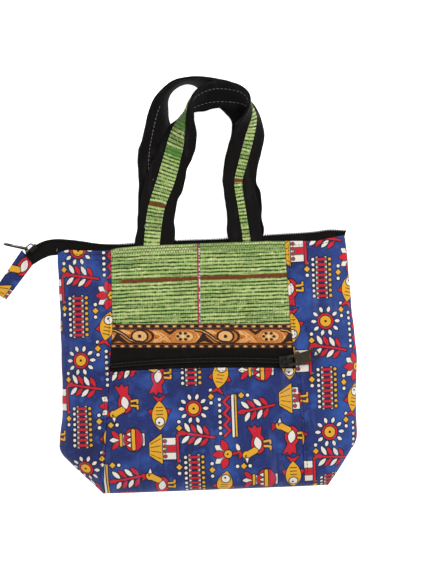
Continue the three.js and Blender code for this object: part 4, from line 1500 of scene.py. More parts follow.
@dataclass
class WovenPanel:
    """The green panel at the top of the front."""

    finish: Material
    yarn: HandloomCotton
    size: Pair = (168, 77)
    pitch: Pair = (0.75, 0.42)
    seed: int = 60
    dot_rows: Numbers = (1.8, 4.2, 6.6)
    dot_pitch: float = 2.4
    dotted: float = 0.7
    brown_at: float = 84.3
    brown_from: float = -81
    brown_fade: float = 5
    warp_line: Pair = (-7.4, 0.0265)
    # Depth and reach of the turned edge at the mouth
    mouth_dip: Pair = (0.8, 1.6)

    def dots(self, x: Grid, depth: Grid) -> Grid:
        """Rows of cream picks below the mouth.

        Args:
            x: Places across.
            depth: Places down from the mouth.

        Returns:
            Shares of cream.
        """
        share = np.zeros_like(x)
        for k, row in enumerate(self.dot_rows):
            wave = np.cos(math.tau * (x / self.dot_pitch + 0.5 * k))
            picks = np.exp(-((depth - row) / 0.75) ** 2) * np.clip(0.4 + 1.4 * wave, 0, 1)
            share = np.maximum(share, picks)
        return share * np.clip(0.8 + 0.8 * Noise(self.seed + 7, 24, 5)(x, depth), 0.2, 1)

    def build(self) -> None:
        """Adds the panel."""
        low = WOVEN_FOOT.moved(GAP / 2)
        across, along = map(steps_of, self.size, self.pitch)
        x, y = FORM.middle(low, MOUTH_LINE, across, along)
        values = self.yarn.values(y, x, self.seed + 10)
        seams = [*FORM.side_seams(x, y), (y - WOVEN_FOOT.over(x), x)]
        relief = RELIEF.at(x, y, seams, self.seed) + values.pop("rib")
        depth = FORM.mouth_at(x) - y
        z = FORM.front(x, y) + relief - self.mouth_dip[0] * np.exp(-(depth / self.mouth_dip[1]) ** 2)
        values["brown_line"] = y - self.brown_at
        values["brown_share"] = np.clip((x - self.brown_from) / self.brown_fade, 0, 1)
        values["plain"] = self.dotted * np.clip(self.dot_rows[-1] + 1.4 - depth, 0, 1)
        values["dots"] = self.dots(x, depth)
        values["warp_line"] = x - self.warp_line[0] - self.warp_line[1] * y
        values["warp"] = x + 0.3 * Noise(self.seed + 6, 9, 9)(x, y)
        points = np.stack([x, y, z], axis=-1)
        wall = Wall("woven_panel_cloth", points, CLOTH, values, level=FRONT_LEVEL)
        settle(wall.build(), self.finish, ["woven_panel"])


@dataclass(frozen=True)
class BlockPrint:
    """Tan cotton with a block-printed scroll in cream and near-black."""

    ground: Colour = srgb(178, 104, 38)
    shade: Colour = srgb(140, 78, 26)
    inks: tuple[tuple[Ink, Colour], ...] = (
        (Ink.RED, srgb(84, 40, 14)),
        (Ink.CREAM, srgb(212, 164, 104)),
        (Ink.YELLOW, srgb(166, 92, 28)),
        (Ink.TOP_CREAM, srgb(222, 180, 124)),
        (Ink.TOP_DARK, srgb(22, 12, 8)),
    )
    edge: float = 0.4
    thread: float = 0.6

    def make(self) -> Material:
        """The finish as a material."""
        paint = Paint("block_printed_cotton")
        colour = paint.layer(self.ground, self.shade, paint.patches(7, 3, 0.45, 2) * 0.6)
        uneven = (paint.noise(1.3, 2) - 0.5) * 0.8
        mottled = 1 - paint.patches(1.5, 1, 0.45, 4) * 0.5
        for ink, tint in self.inks:
            distance = paint.attribute(ink.value) + uneven
            share = (0.5 - distance / self.edge).held() * (mottled if ink is Ink.CREAM else 0.97)
            colour = paint.layer(colour, tint, share)
        return paint.dress(Base_Color=colour, Roughness=0.84, Sheen_Weight=0.1,
                           Specular_IOR_Level=0.25, Normal=paint.woven(self.thread, 4, 0.4))


@dataclass
class BorderBand:
    """The block-printed band between the woven panel and the pocket zip."""

    finish: Material
    size: Pair = (170, 23)
    pitch: float = 0.45
    seed: int = 80
    eye_at: float = -61.5
    period: float = 80
    flower_after: float = 40.4
    vine_after: float = 58.9
    middle: float = 11.2
    line_rows: Pair = (4.2, 18.1)
    line_room: float = 0.6
    dash_rows: Pair = (1.9, 20.6)
    dash_pitch: float = 8.2

    def eye(self, plate: PrintPlate) -> None:
        """An eye-shaped medallion with a wide outer lid."""
        plate.oval(Ink.CREAM, 0, 0, 6.8, 4.9)
        ring = (np.hypot(plate.x / 7.6, plate.y / 5.6) - 1) * 5.6
        plate.press(Ink.TOP_DARK, np.abs(ring) - 0.72)
        arc = (np.hypot((plate.x - 1.2) / 11.2, plate.y / 6.5) - 1) * 6.5
        plate.press(Ink.TOP_DARK, np.maximum(np.abs(arc) - 0.7, -1 - plate.x))
        plate.disc(Ink.TOP_DARK, 0, 0, 1.75)
        leaves = (((-18, 5.8), (-8.6, 2.4)), ((12.4, 5.6), (16.8, 1.2)), ((12.6, -5.6), (16.4, -2.6)))
        for start, end in leaves:
            plate.leaf(Ink.CREAM, start, end, 1.3)
        for x, y in ((-15.6, 4.6), (-13.2, 3.8), (-10.8, 3.2), (-9.4, 0.4), (14.6, 3.4), (14.2, -4.2)):
            plate.disc(Ink.RED, x, y, 0.6)

    def flower(self, plate: PrintPlate) -> None:
        """A flower of six dots in ringed ovals, with crossed leaves and a dark V beside it."""
        plate.oval(Ink.CREAM, 1.6, 0, 13.2, 6.6)
        for wide, high in ((11.6, 5.9), (9.2, 4.9)):
            share = (np.hypot((plate.x - 1.2) / wide, plate.y / high) - 1) * high
            plate.press(Ink.YELLOW, np.abs(share) - 0.5)
        for k in range(6):
            turn = math.tau * k / 6
            plate.oval(Ink.TOP_DARK, 4.8 * math.cos(turn), 3.2 * math.sin(turn), 1.6, 1.4)
        plate.disc(Ink.TOP_CREAM, 0, 0, 1.4)
        wedge = [(-19.4, 6.4), (-16, 6.4), (-12.4, 4.4), (-8.4, 6.4), (-5, 6.4), (-12.2, 1.2)]
        plate.shape_of(Ink.TOP_DARK, wedge)
        for start, end, half in (((-26.4, 6), (-10.8, -6.4), 1.9), ((-26.4, -6.4), (-14.6, 2), 1.7)):
            plate.leaf(Ink.CREAM, start, end, half)
            plate.bar(Ink.YELLOW, start, end, 0.35)
        for x, y in ((-27.4, 0.6), (-25.6, -1.2), (-12, -2.2), (-19.2, -5.8)):
            plate.disc(Ink.RED, x, y, 0.7)

    def vine(self, plate: PrintPlate) -> None:
        """The dark wedge and the roped stem between a flower and the next eye."""
        plate.shape_of(Ink.TOP_DARK, [(0.4, 4.2), (3, 0.4), (6.6, -3), (11.6, -6.8), (5, -5.8), (1, -4.4),
                                      (-2.4, -5.8), (-7.8, -6.8), (-3.6, -2.2)])
        route = np.array(((-7, 6.2), (-1, 5.2), (5, 2.2), (11.4, -3), (17.8, -5.6), (25, -6.4)))
        across = unit(np.gradient(route, axis=0))[:, ::-1] * (-1, 1)
        strands = ((Ink.TOP_DARK, 1.1, 0.72), (Ink.TOP_DARK, -1.1, 0.68), (Ink.CREAM, 0, 0.5))
        for ink, aside, half in strands:
            line = [tuple(point) for point in route + across * aside]
            for start, end in zip(line, line[1:]):
                plate.bar(ink, start, end, half)
        for start, end in (((3, 6), (13.6, 2.6)), ((-7.6, 3.4), (-2.2, -2.2))):
            plate.leaf(Ink.CREAM, start, end, 1.2)

    def edges(self, plate: PrintPlate, along: Grid, height: float) -> None:
        """Dashed rows and lines along both edges."""
        depth = plate.points[1]
        plate.near = np.arange(depth.size)
        for row in self.line_rows:
            plate.press(Ink.RED, np.abs(depth - row) - 0.9)
            plate.press(Ink.TOP_DARK, np.abs(depth - row) - 0.48)
        for rim in (0.0, height):
            plate.press(Ink.RED, np.abs(depth - rim) - 0.7)
        from_dash = along.ravel() - self.dash_pitch * np.round(along.ravel() / self.dash_pitch)
        for row in self.dash_rows:
            plate.press(Ink.RED, np.abs(depth - row) - 1.5)
            plate.press(Ink.TOP_DARK, (np.hypot(from_dash / 2.1, (depth - row) / 1.35) - 1) * 1.35)
            from_bar = self.dash_pitch / 2 - np.abs(from_dash)
            plate.press(Ink.CREAM, (np.hypot(from_bar / 1.9, (depth - row) / 0.85) - 1) * 0.85)

    def print_values(self, along: Grid, depth: Grid, height: float) -> dict[str, Grid]:
        """Prints the band.

        Args:
            along: Places along the band.
            depth: Places down from its upper edge.
            height: Height of the band.

        Returns:
            Attributes for the band's points.
        """
        plate = PrintPlate(along, depth)
        for k in range(-1, 3):
            eye = self.eye_at + k * self.period
            stops = ((0, self.eye), (self.flower_after, self.flower), (self.vine_after, self.vine))
            for after, draw in stops:
                if plate.at(eye + after, self.middle, 0, 1, 30):
                    plate.y = -plate.y
                    draw(plate)
        low, high = self.line_rows
        outside = np.maximum(low - depth.ravel(), depth.ravel() - high) + self.line_room
        for layer in plate.layers.values():
            layer[:] = np.maximum(layer, outside)
        self.edges(plate, along, height)
        return plate.values()

    def build(self) -> None:
        """Adds the band."""
        low, high = BORDER_FOOT.moved(GAP / 2), WOVEN_FOOT.moved(-GAP / 2)
        x, y = FORM.middle(low, high, *(steps_of(length, self.pitch) for length in self.size))
        top, foot = high.over(x), low.over(x)
        height = float(np.mean(top - foot))
        depth = (top - y) / (top - foot) * height
        seams = [*FORM.side_seams(x, y), (top - y, x), (y - foot, x)]
        z = FORM.front(x, y) + RELIEF.at(x, y, seams, self.seed)
        values = self.print_values(x, depth, height)
        points = np.stack([x, y, z], axis=-1)
        wall = Wall("border_band_cotton", points, CLOTH, values, level=FRONT_LEVEL)
        settle(wall.build(), self.finish, ["border_band"])


@dataclass(frozen=True)
class BlackCotton:
    """Black cotton of the handles, with lint specks and a painted bluish-grey sheen in long patches that
    stand for light on its creases.
    """

    base: Colour = srgb(9, 7, 6)
    # Bluish grey of the lint and of the painted sheen on creases
    lint_and_sheen: Colour = srgb(52, 48, 54)
    thread: float = 0.7

    def make(self) -> Material:
        """The finish as a material."""
        paint = Paint("black_cotton")
        # Painted highlight: long patches of bluish grey stand for sheen along creases; small specks are
        # lint.
        painted_crease_sheen = paint.patches(13, 3, 0.55, 3, (1.6, 0.5, 1))
        lint = paint.patches(1.1, 1, 0.7, 6)
        colour = paint.layer(self.base, self.lint_and_sheen, painted_crease_sheen * 0.35 + lint * 0.2)
        grain = math.tau / self.thread
        twill = ((paint.along("X") + paint.along("Y")) * grain).wave()
        cloth = paint.bump(twill * 0.5 + 0.5, 0.12, 0.4)
        normal = paint.bump(paint.noise(6, 3), 0.6, 0.5, cloth)
        return paint.dress(Base_Color=colour, Roughness=0.82, Sheen_Weight=0.02,
                           Specular_IOR_Level=0.12, Normal=normal)


@dataclass(frozen=True)
class ZipTape:
    """Black woven tape with ribs along it."""

    base: Colour = srgb(9, 7, 6)
    worn: Colour = srgb(24, 20, 18)

    def make(self) -> Material:
        """The finish as a material."""
        paint = Paint("zip_tape")
        colour = paint.layer(self.base, self.worn, paint.patches(9, 3, 0.5, 2.5) * 0.6)
        rows = (paint.along("Y") * (math.tau / 1.1)).wave() * 0.5 + 0.5
        picks = (paint.along("X") * (math.tau / 0.8)).wave() * 0.5 + 0.5
        normal = paint.bump(rows * 0.6 + picks * 0.4, 0.16, 0.5)
        return paint.dress(Base_Color=colour, Roughness=0.88, Specular_IOR_Level=0.14, Normal=normal)


@dataclass(frozen=True)
class CoilNylon:
    """Black nylon of the zip's teeth."""

    base: Colour = srgb(5, 4, 4)
    scuffed: Colour = srgb(16, 14, 13)

    def make(self) -> Material:
        """The finish as a material."""
        paint = Paint("coil_nylon")
        scuffs = paint.patches(2.2, 2, 0.5, 3)
        colour = paint.layer(self.base, self.scuffed, scuffs * 0.6)
        return paint.dress(Base_Color=colour, Roughness=0.6 + scuffs * 0.2, Specular_IOR_Level=0.16,
                           Normal=paint.bump(paint.noise(0.5, 1), 0.05, 0.4))


@dataclass(frozen=True)
class PaintedMetal:
    """Olive-black paint on metal, rubbed through a little."""

    name: str = "olive_enamel"
    paint_colour: Colour = srgb(46, 42, 30)
    dark: Colour = srgb(26, 23, 17)
    bare: Colour = srgb(150, 144, 124)

    def make(self) -> Material:
        """The finish as a material."""
        paint = Paint(self.name)
        patches = paint.patches(4, 3, 0.48, 4)
        rubbed = paint.patches(1.2, 2, 0.68, 8)
        colour = paint.layer(self.paint_colour, self.dark, patches * 0.6)
        colour = paint.layer(colour, self.bare, rubbed * 0.35)
        normal = paint.bump(paint.noise(0.7, 2), 0.06, 0.5)
        return paint.dress(Base_Color=colour, Metallic=rubbed * 0.5, Roughness=0.3 + patches * 0.2,
                           Specular_IOR_Level=0.2, Normal=normal)


@dataclass
class ZipChain:
    """Interlocked coil teeth along a line of stations."""

    name: str
    node: str
    finish: Material
    pitch: float
    width: float = 5.6
    height: float = 2.4
    wire: float = 0.46
    # Share of the pitch by which the teeth of the two halves stand apart
    stagger: float = 0.5
    # Side and rise of a tooth from its outer bend to its head, as shares of the chain's width and height
    tooth: tuple[Pair, ...] = ((0.40, 0.10), (0.47, 0.36), (0.38, 0.62), (0.16, 0.80), (-0.10, 0.74))
    core: float = 0.62
    core_rise: float = 0.22
    core_shares: Numbers = (-0.3, 0, 0.3)

    def build(self, foot: Grid, across: Grid, out: Grid) -> None:
        """Adds the chain's teeth and the cores between them.

        Args:
            foot: Close points along the middle of the chain's foot.
            across: Way across the chain at each point.
            out: Way out of the tape at each point.
        """
        run = run_along(foot)
        tubes = Tubes()
        tooth = np.array(self.tooth)
        count = int(run[-1] / self.pitch)
        for k in range(count):
            for hand in (-1, 1):
                place = (k + 0.25 + self.stagger / 2 * hand) * self.pitch
                middle, side, rise = (point_at(way, run, place) for way in (foot, across, out))
                route = middle + np.outer(hand * self.width * tooth[:, 0], side) + \
                    np.outer(self.height * tooth[:, 1], rise)
                heading = np.cross(side, rise)
                tubes.add(route, self.wire, 1, heading)
        for share in self.core_shares:
            line = foot + across * (share * self.width) + out * (self.core_rise * self.height)
            tubes.add(line[::4], self.core, 0.8, out[0])
        settle(tubes.build(self.name), self.finish, [self.node])


@dataclass
class PocketZip:
    """The zip of the front pocket: two tapes and its chain."""

    tape: Material
    nylon: Material
    ticks: Stitching
    size: Pair = (176, 12)
    steps: Pair = (1.6, 0.75)
    seed: int = 91
    left: float = 5.8
    middle: float = 8
    right: float = 3.2
    tick_rows: Pair = (-1.55, 1.55)
    tick_lift: float = 2.05
    drop: float = 0.5
    tape_thickness: float = 0.8
    coil_share: Pair = (0.006, 0.93)
    pitch: float = 1.32

    def chain_level(self, share: Grid) -> Grid:
        """Level of the chain across the pocket."""
        ends = self.left + (self.right - self.left) * share
        return ends + (self.middle - (self.left + self.right) / 2) * 4 * share * (1 - share)

    def tape_half(self, name: str, edge: CrossSeam, hand: int) -> None:
        """Adds one tape.

        Args:
            name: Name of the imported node.
            edge: Seam of its sewn edge.
            hand: 1 for the upper tape and -1 for the lower one.
        """
        share, depth = np.meshgrid(*map(steps_of, self.size, self.steps), indexing="ij")
        seam = edge.at(share) - hand * GAP
        chain = self.chain_level(share) + hand * GAP / 2
        y = chain + (seam - chain) * depth
        left, right = FORM.left_seam(y) + GAP, FORM.right_seam(y) - GAP
        x = left + (right - left) * share
        ripple = 0.22 * Noise(self.seed + hand, 18, 8)(x, y) - 0.35 * np.exp(-((depth - 1) * 8) ** 2)
        z = FORM.front(x, y) - self.drop + ripple * depth
        wall = Wall(name + "_weave", np.stack([x, y, z], axis=-1), self.tape_thickness, side=hand)
        settle(wall.build(), self.tape, [name])

    def build(self) -> None:
        """Adds the tapes and the chain."""
        self.tape_half("pocket_zip_tape_upper", BORDER_FOOT, 1)
        self.tape_half("pocket_zip_tape_lower", POCKET_TOP, -1)
        share = np.linspace(*self.coil_share, 400)
        y = self.chain_level(share)
        x = FORM.left_seam(y) + (FORM.right_seam(y) - FORM.left_seam(y)) * share
        foot = np.stack([x, y, FORM.front(x, y) - self.drop + GAP], axis=-1)
        across = np.broadcast_to((0.0, 1.0, 0.0), foot.shape)
        out = np.broadcast_to((0.0, 0.0, 1.0), foot.shape)
        ZipChain("pocket_zip_teeth", "pocket_zip_coil", self.nylon, self.pitch).build(foot, across, out)
        routes = [(foot + across * row + out * self.tick_lift, out) for row in self.tick_rows]
        self.ticks.build("pocket_zip_ticks", routes)


@dataclass
class TopZip:
    """The zip of the mouth, whose tail runs past the left corner."""

    tape: Material
    nylon: Material
    size: Pair = (10, 330)
    steps: Pair = (1.2, 1.5)
    pitch: float = 2.3
    tape_thickness: float = 0.8
    # How far the tapes stand past the chain's inner edge, along the mouth and where they cover its teeth
    tape_past: Pair = (1.6, 2.7)
    covered: Pair = (-78, -96)
    coil_spread: float = 2
    tooth_height: float = 2.9
    tooth_wire: float = 0.74
    front_top: float = 9.9
    back_foot: float = 4.4
    right_end: float = 136
    tail: Pair = (-126, -140)
    # Inner edge of the chain and depth of its tapes, from the right end to the end of the tail
    chain: Table = field(default_factory=lambda: Table("x y z depth", (
        (136.5, 122.2, 7.2, 10.4),
        (121, 123.6, 7.2, 10.4),
        (104, 122.1, 7.2, 10.4),
        (60, 121, 7.2, 10.4),
        (20, 119.2, 7.2, 10.4),
        (-20, 119.2, 7.2, 10.4),
        (-62, 117.9, 7.2, 10.4),
        (-88, 117.6, 7.2, 10.4),
        (-101, 118.7, 7.2, 10.4),
        (-115, 121.4, 7.2, 10.4),
        (-127, 123.2, 7.2, 11),
        (-139, 124.2, 7.2, 12.4),
        (-149, 122.9, 7.2, 12.2),
        (-158, 118.6, 7.2, 11.6),
        (-167, 110.8, 7.2, 9.2),
    )))

    def station(self, row: Grid) -> tuple[Grid, Grid]:
        """Foot of the chain and its way out at row numbers."""
        near, far = np.maximum(row - 0.01, 0), np.minimum(row + 0.01, self.chain.last)
        heading = unit(self.chain.places(far) - self.chain.places(near))
        return self.chain.places(row), np.cross(heading, (0, 0, 1))

    def tape_half(self, name: str, hand: int) -> None:
        """Adds one tape.

        Args:
            name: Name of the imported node.
            hand: 1 for the front tape and -1 for the back one.
        """
        first, second = self.chain.values["x"][:2]
        start = (first - self.right_end) / (first - second)
        share, run = np.meshgrid(*map(steps_of, self.size, self.steps), indexing="ij")
        row = start + (self.chain.last - start) * run
        foot, out = self.station(row)
        cover = smooth((self.covered[0] - foot[..., 0]) / (self.covered[0] - self.covered[1]))
        past = self.tape_past[0] + (self.tape_past[1] - self.tape_past[0]) * cover
        place = foot + out * (past - share * (self.chain.at("depth", row) + past))[..., None]
        x, y = place[..., 0], place[..., 1]
        room = FORM.front(x, np.minimum(y, FORM.mouth_at(x))) - 2 * CLOTH
        inside = np.minimum(self.front_top, room) if hand > 0 else np.full_like(x, self.back_foot)
        folded = foot[..., 2] + hand * (self.tape_thickness + GAP)
        on_tail = smooth((self.tail[0] - x) / (self.tail[0] - self.tail[1]))
        far = inside + (folded - inside) * on_tail
        near = foot[..., 2] + hand * self.coil_spread
        place[..., 2] = near + (far - near) * share
        wall = Wall(name + "_weave", place, self.tape_thickness, side=-hand)
        settle(wall.build(), self.tape, [name])

    def build(self) -> None:
        """Adds the tapes and the chain."""
        self.tape_half("top_zip_tape_front", 1)
        self.tape_half("top_zip_tape_back", -1)
        foot, out = self.station(np.linspace(0, self.chain.last, 900))
        across = np.broadcast_to((0.0, 0.0, 1.0), foot.shape)
        chain = ZipChain("top_zip_teeth", "top_zip_coil", self.nylon, self.pitch,
                         height=self.tooth_height, wire=self.tooth_wire, stagger=0)
        chain.build(foot, across, out)


@dataclass
class EndTab:
    """The printed tab folded over the end of the top zip."""

    finish: Material
    size: Pair = (16.5, 45)
    step: float = 0.5
    seed: int = 51
    print_start: Pair = (-4, -10)
    thickness: float = 3
    bulge: float = 0.8
    near: tuple[Numbers, ...] = ((-171.8, 117.7, 8), (-160.9, 104.5, 8))
    far: tuple[Numbers, ...] = ((-201.6, 79.2, 3.6), (-189.3, 71, 3.6))

    def build(self) -> None:
        """Adds the tab."""
        u, v = np.meshgrid(*(steps_of(length, self.step) for length in self.size), indexing="ij")
        across, along = u * self.size[0], v * self.size[1]
        near, far = np.array(self.near), np.array(self.far)
        start = near[0] + (near[1] - near[0]) * u[..., None]
        end = far[0] + (far[1] - far[0]) * u[..., None]
        place = start + (end - start) * v[..., None]
        edge = np.minimum(np.minimum(u, 1 - u) * self.size[0], np.minimum(v, 1 - v) * self.size[1])
        place[..., 2] += self.bulge * np.sin(math.pi * u) * np.sin(math.pi * v)
        place[..., 2] += 0.3 * Noise(self.seed, 7, 9)(across, along) * np.clip(edge / 3, 0, 1)
        place[..., 2] -= 0.7 * np.exp(-(edge / 0.7) ** 2)
        wall = Wall("zip_end_tab_cotton", place, self.thickness, side=-1)
        wall.values = FolkPrint().press(across, along, self.print_start)
        settle(wall.build(), self.finish, ["zip_end_tab"])


@dataclass
class Handle:
    """A carry handle: a black band with a woven strip sewn along it."""

    name: str
    rows: Table
    side: int
    cotton: Material
    handloom: Material
    yarn: HandloomCotton
    stitches: Stitching
    brown_stripes: Numbers
    seed: int
    band: float = 2
    breadth: float = 35
    inlay: float = 0.9
    inlay_start: float = 0.72
    inlay_lift: float = 0.8
    rib_share: float = 0.8
    far: float = 9
    band_pitch: float = 1.5
    across_pitch: float = 0.9
    strip_width: float = 16
    strip_pitch: float = 0.62
    edge_wave: float = 1.3
    # Offset of each row of stitches, and the share of the handle's length that it shows on
    seams: tuple[Pair, ...] = ((-7.7, 1), (7.7, 1))
    stitch_lift: float = 0.12
    # Middle and half length of each patch with no ribs
    plain_patches: tuple[Pair, ...] = ()

    def surface(self, offset: Callable[[Grid], Grid], row: Grid) -> Grid:
        """Points of the band's middle surface.

        Args:
            offset: Distance across from the band's middle line, from row numbers.
            row: Row numbers along the handle.

        Returns:
            The points.
        """
        step = 0.02
        near, far = np.maximum(row - step, 0), np.minimum(row + step, self.rows.last)
        heading = unit(self.rows.places(far) - self.rows.places(near))
        right = unit(np.cross(heading, (0, 0, 1)))
        up = np.cross(right, heading)
        roll = np.radians(self.rows.at("roll", row))[..., None]
        across = right * np.cos(roll) + up * np.sin(roll)
        face = up * np.cos(roll) - right * np.sin(roll)
        curl = np.maximum(np.radians(self.rows.at("curl", row)), 1e-3)
        radius = self.rows.at("width", row) / curl
        angle = offset(row) / radius
        crest = radius * (1 - np.cos(curl / 2)) / 2
        lift = crest - radius * (1 - np.cos(angle))
        return self.rows.places(row) + across * (radius * np.sin(angle))[..., None] + face * lift[..., None]

    def even_rows(self, pitch: float, start: float = 0) -> Grid:
        """Row numbers at an even distance along the handle, from a start row to the same before its end."""
        fine = np.linspace(start, self.rows.last - start, 2000)
        run = run_along(self.rows.places(fine))
        return np.interp(steps_of(run[-1], pitch) * run[-1], run, fine)

    def band_wall(self) -> None:
        """Adds the black band, with soft folds and a ridge along each folded edge."""
        rows = self.even_rows(self.band_pitch)
        share, row = np.meshgrid(steps_of(self.breadth, self.across_pitch), rows, indexing="ij")
        run = np.broadcast_to(np.arange(len(rows)) * self.band_pitch, share.shape)
        edge = np.abs(2 * share - 1) ** 4 * np.sign(share - 0.5)
        wave = self.edge_wave * Noise(self.seed + 5, 11, 1)(run, np.sign(share - 0.5) * 3 + 8)

        def offset(r: Grid) -> Grid:
            """Distance across from the band's middle line, with its edges a little uneven."""
            return (share - 0.5) * self.rows.at("width", r) + edge * wave

        points = self.surface(offset, row)
        aside = np.minimum(share, 1 - share) * self.breadth
        across = (share - 0.5) * self.breadth
        small = 0.4 * Noise(self.seed, 9, 6)(across, run)
        large = 0.7 * Noise(self.seed + 3, 30, 13)(across + run, run)
        crumple = (small + large) * np.clip(aside / 4, 0, 1)
        relief = 0.25 * np.exp(-((aside - 3) / 1.6) ** 2) - 0.5 * np.exp(-(aside / 0.8) ** 2)
        under_strip = np.clip((np.abs(across) - 9) / 3, 0, 1)
        lift = self.band / 2 + relief + crumple * under_strip
        points = points + normals_of(points) * (self.side * lift)[..., None]
        wall = Wall(f"{self.name}_band_cotton", points, self.band, side=self.side, plain=2)
        settle(wall.build(), self.cotton, [f"{self.name}_band"])

    def seam_rows(self) -> None:
        """Adds the rows of stitches that show on the band's reverse, each over a share of its length."""
        every = self.even_rows(1, self.inlay_start)
        routes = []
        for aside, shown in self.seams:
            rows = every[:round(len(every) * shown)]
            middle, beside = (self.surface(lambda r, place=place: np.full_like(r, place), rows)
                              for place in (aside, aside + 0.5))
            out = unit(np.cross(beside - middle, np.gradient(middle, axis=0))) * -self.side
            routes.append((middle + out * (self.band / 2 + self.stitch_lift), out))
        self.stitches.build(f"{self.name}_stitches", routes)

    def strip_wall(self) -> None:
        """Adds the woven strip."""
        rows = self.even_rows(self.strip_pitch, self.inlay_start)
        share, row = np.meshgrid(steps_of(self.strip_width, self.across_pitch), rows, indexing="ij")

        def offset(r: Grid) -> Grid:
            """Distance across from the band's middle line."""
            start = self.rows.at("from", r)
            return start + (self.rows.at("to", r) - start) * share

        points = self.surface(offset, row)
        along = np.broadcast_to(run_along(points[len(points) // 2]), share.shape)
        across = offset(row)
        values = self.yarn.values(along, across, self.seed)
        rib = values.pop("rib")
        values["brown_line"] = np.full_like(along, self.far)
        for stripe in self.brown_stripes:
            nearer = np.abs(along - stripe) < np.abs(values["brown_line"])
            values["brown_line"] = np.where(nearer, along - stripe, values["brown_line"])
        values["brown_share"] = np.ones_like(along)
        values["plain"] = np.zeros_like(along)
        for middle, half in self.plain_patches:
            ragged = np.abs(along - middle) + 2 * Noise(self.seed + 9, 3, 3)(across, along)
            values["plain"] = np.maximum(values["plain"], np.clip((half - ragged) / 2, 0, 1))
        values["warp_line"] = np.full_like(along, self.far)
        values["warp"] = across
        lift = self.band / 2 + self.inlay_lift + rib * self.rib_share
        points = points + normals_of(points) * (self.side * lift)[..., None]
        wall = Wall(f"{self.name}_inlay_cloth", points, self.inlay, values, side=self.side)
        settle(wall.build(), self.handloom, [f"{self.name}_inlay"])

    def build(self) -> None:
        """Adds the band, its strip and the stitches that hold it."""
        self.band_wall()
        self.strip_wall()
        self.seam_rows()


HANDLE_COLUMNS = "x y z width roll curl from to"
FRONT_HANDLE = Table(HANDLE_COLUMNS, (
    (-45.5, 109, 11.3, 35, 0, 0, -9.7, 5.2),
    (-45, 122, 11.4, 35, 0, 0, -9.7, 5.2),
    (-40.5, 152, 9.5, 35, 0, 0, -9.3, 6.2),
    (-32, 180, 10, 35, 2, 8, -7.7, 9),
    (-22, 205, 15.3, 35, 8, 14, -9, 7.3),
    (-15.5, 222, 21, 35, 34, 40, -9, 6.6),
    (-10, 235.5, 23.2, 35, 68, 60, -8, 6.5),
    (-2.5, 247.5, 23, 35, 106, 50, -7.5, 7.5),
    (12.5, 254.5, 22.5, 34, 127, 15, -7.4, 7.4),
    (29.5, 254.5, 22.5, 34, 128, 15, -7, 7),
    (44, 249.5, 24.5, 34, 112, 25, -5, 5),
    (50.3, 235.5, 22, 34, 63, 40, -4.5, 4),
    (46.8, 214, 14.5, 32, 18, 25, -4.5, 3.7),
    (40.3, 190, 10, 31, 3, 6, -4.3, 3.7),
    (37.3, 173, 9, 30, 0, 0, -2.8, 4.7),
    (39.3, 150, 9.5, 31, 0, 0, -2.8, 4.2),
    (41, 122, 11.4, 32, 0, 0, -4.4, 2.7),
    (41.3, 109, 11.3, 32, 0, 0, -4.4, 2.7),
))
REAR_HANDLE = Table(HANDLE_COLUMNS, [(*row, -8, 8) for row in (
    (-45, 109, 2.95, 35, 0, 0),
    (-44.5, 122, 2.9, 35, 0, 0),
    (-42.5, 150, 2.9, 35, 0, 0),
    (-41.5, 178, 3, 35, 0, 0),
    (-40, 202, 5.2, 35, -8, 4),
    (-38.3, 221, 12.9, 35, -42, 30),
    (-34.8, 241, 18.5, 35, -63, 50),
    (-29, 257, 20.5, 35, -82, 42),
    (-18, 266.8, 20.5, 35, -92, 22),
    (-4, 269.6, 20, 35, -92, 14),
    (11, 265, 18, 33, -72, 10),
    (26, 257, 10.5, 30, -35, 0),
    (40, 245.5, 4.7, 27, -8, 0),
    (47, 228, 3.4, 30, -2, 0),
    (44.7, 207, 3, 32, 0, 0),
    (38.7, 180, 2.9, 33, 0, 0),
    (41, 150, 2.9, 34, 0, 0),
    (41.5, 122, 2.9, 34, 0, 0),
    (41.5, 109, 2.95, 34, 0, 0),
)])


@dataclass
class ZipHardware:
    """Sliders and pulls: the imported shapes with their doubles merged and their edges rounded."""

    olive: Material
    black: Material
    bevel: float = 0.28
    segments: int = 3
    merged: float = 0.02
    # Angles in degrees of faces joined as flat, of edges that are rounded and of edges kept sharp
    flat_angle: float = 1
    edge_angle: float = 40
    crease: float = 35

    def rounded_copy(self, node: str, finish: Material, body: str) -> None:
        """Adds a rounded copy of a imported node.

        Args:
            node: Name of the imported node.
            finish: Its finish.
            body: Body that it rides on.
        """
        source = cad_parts[node]
        made = bpy.data.objects.new(node + "_metal", source.data.copy())
        bpy.context.scene.collection.objects.link(made)
        select_only(made)
        bpy.ops.object.mode_set(mode="EDIT")
        bpy.ops.mesh.select_all(action="SELECT")
        bpy.ops.mesh.remove_doubles(threshold=self.merged * MM)
        bpy.ops.mesh.dissolve_limited(angle_limit=math.radians(self.flat_angle))
        bpy.ops.object.mode_set(mode="OBJECT")
        rounding = made.modifiers.new("rounded", "BEVEL")
        rounding.width = self.bevel * MM
        rounding.segments = self.segments
        rounding.limit_method = "ANGLE"
        rounding.angle_limit = math.radians(self.edge_angle)
        bpy.ops.object.modifier_apply(modifier=rounding.name)
        shade(made, self.crease)
        settle(made, finish, [node], body)

    def build(self) -> None:
        """Adds both sliders and both pulls."""
        self.rounded_copy("pocket_zip_slider", self.black, "bag")
        self.rounded_copy("pocket_zip_pull", self.olive, "pocket_pull")
        self.rounded_copy("top_zip_slider", self.black, "bag")
        self.rounded_copy("top_zip_pull", self.black, "top_pull")


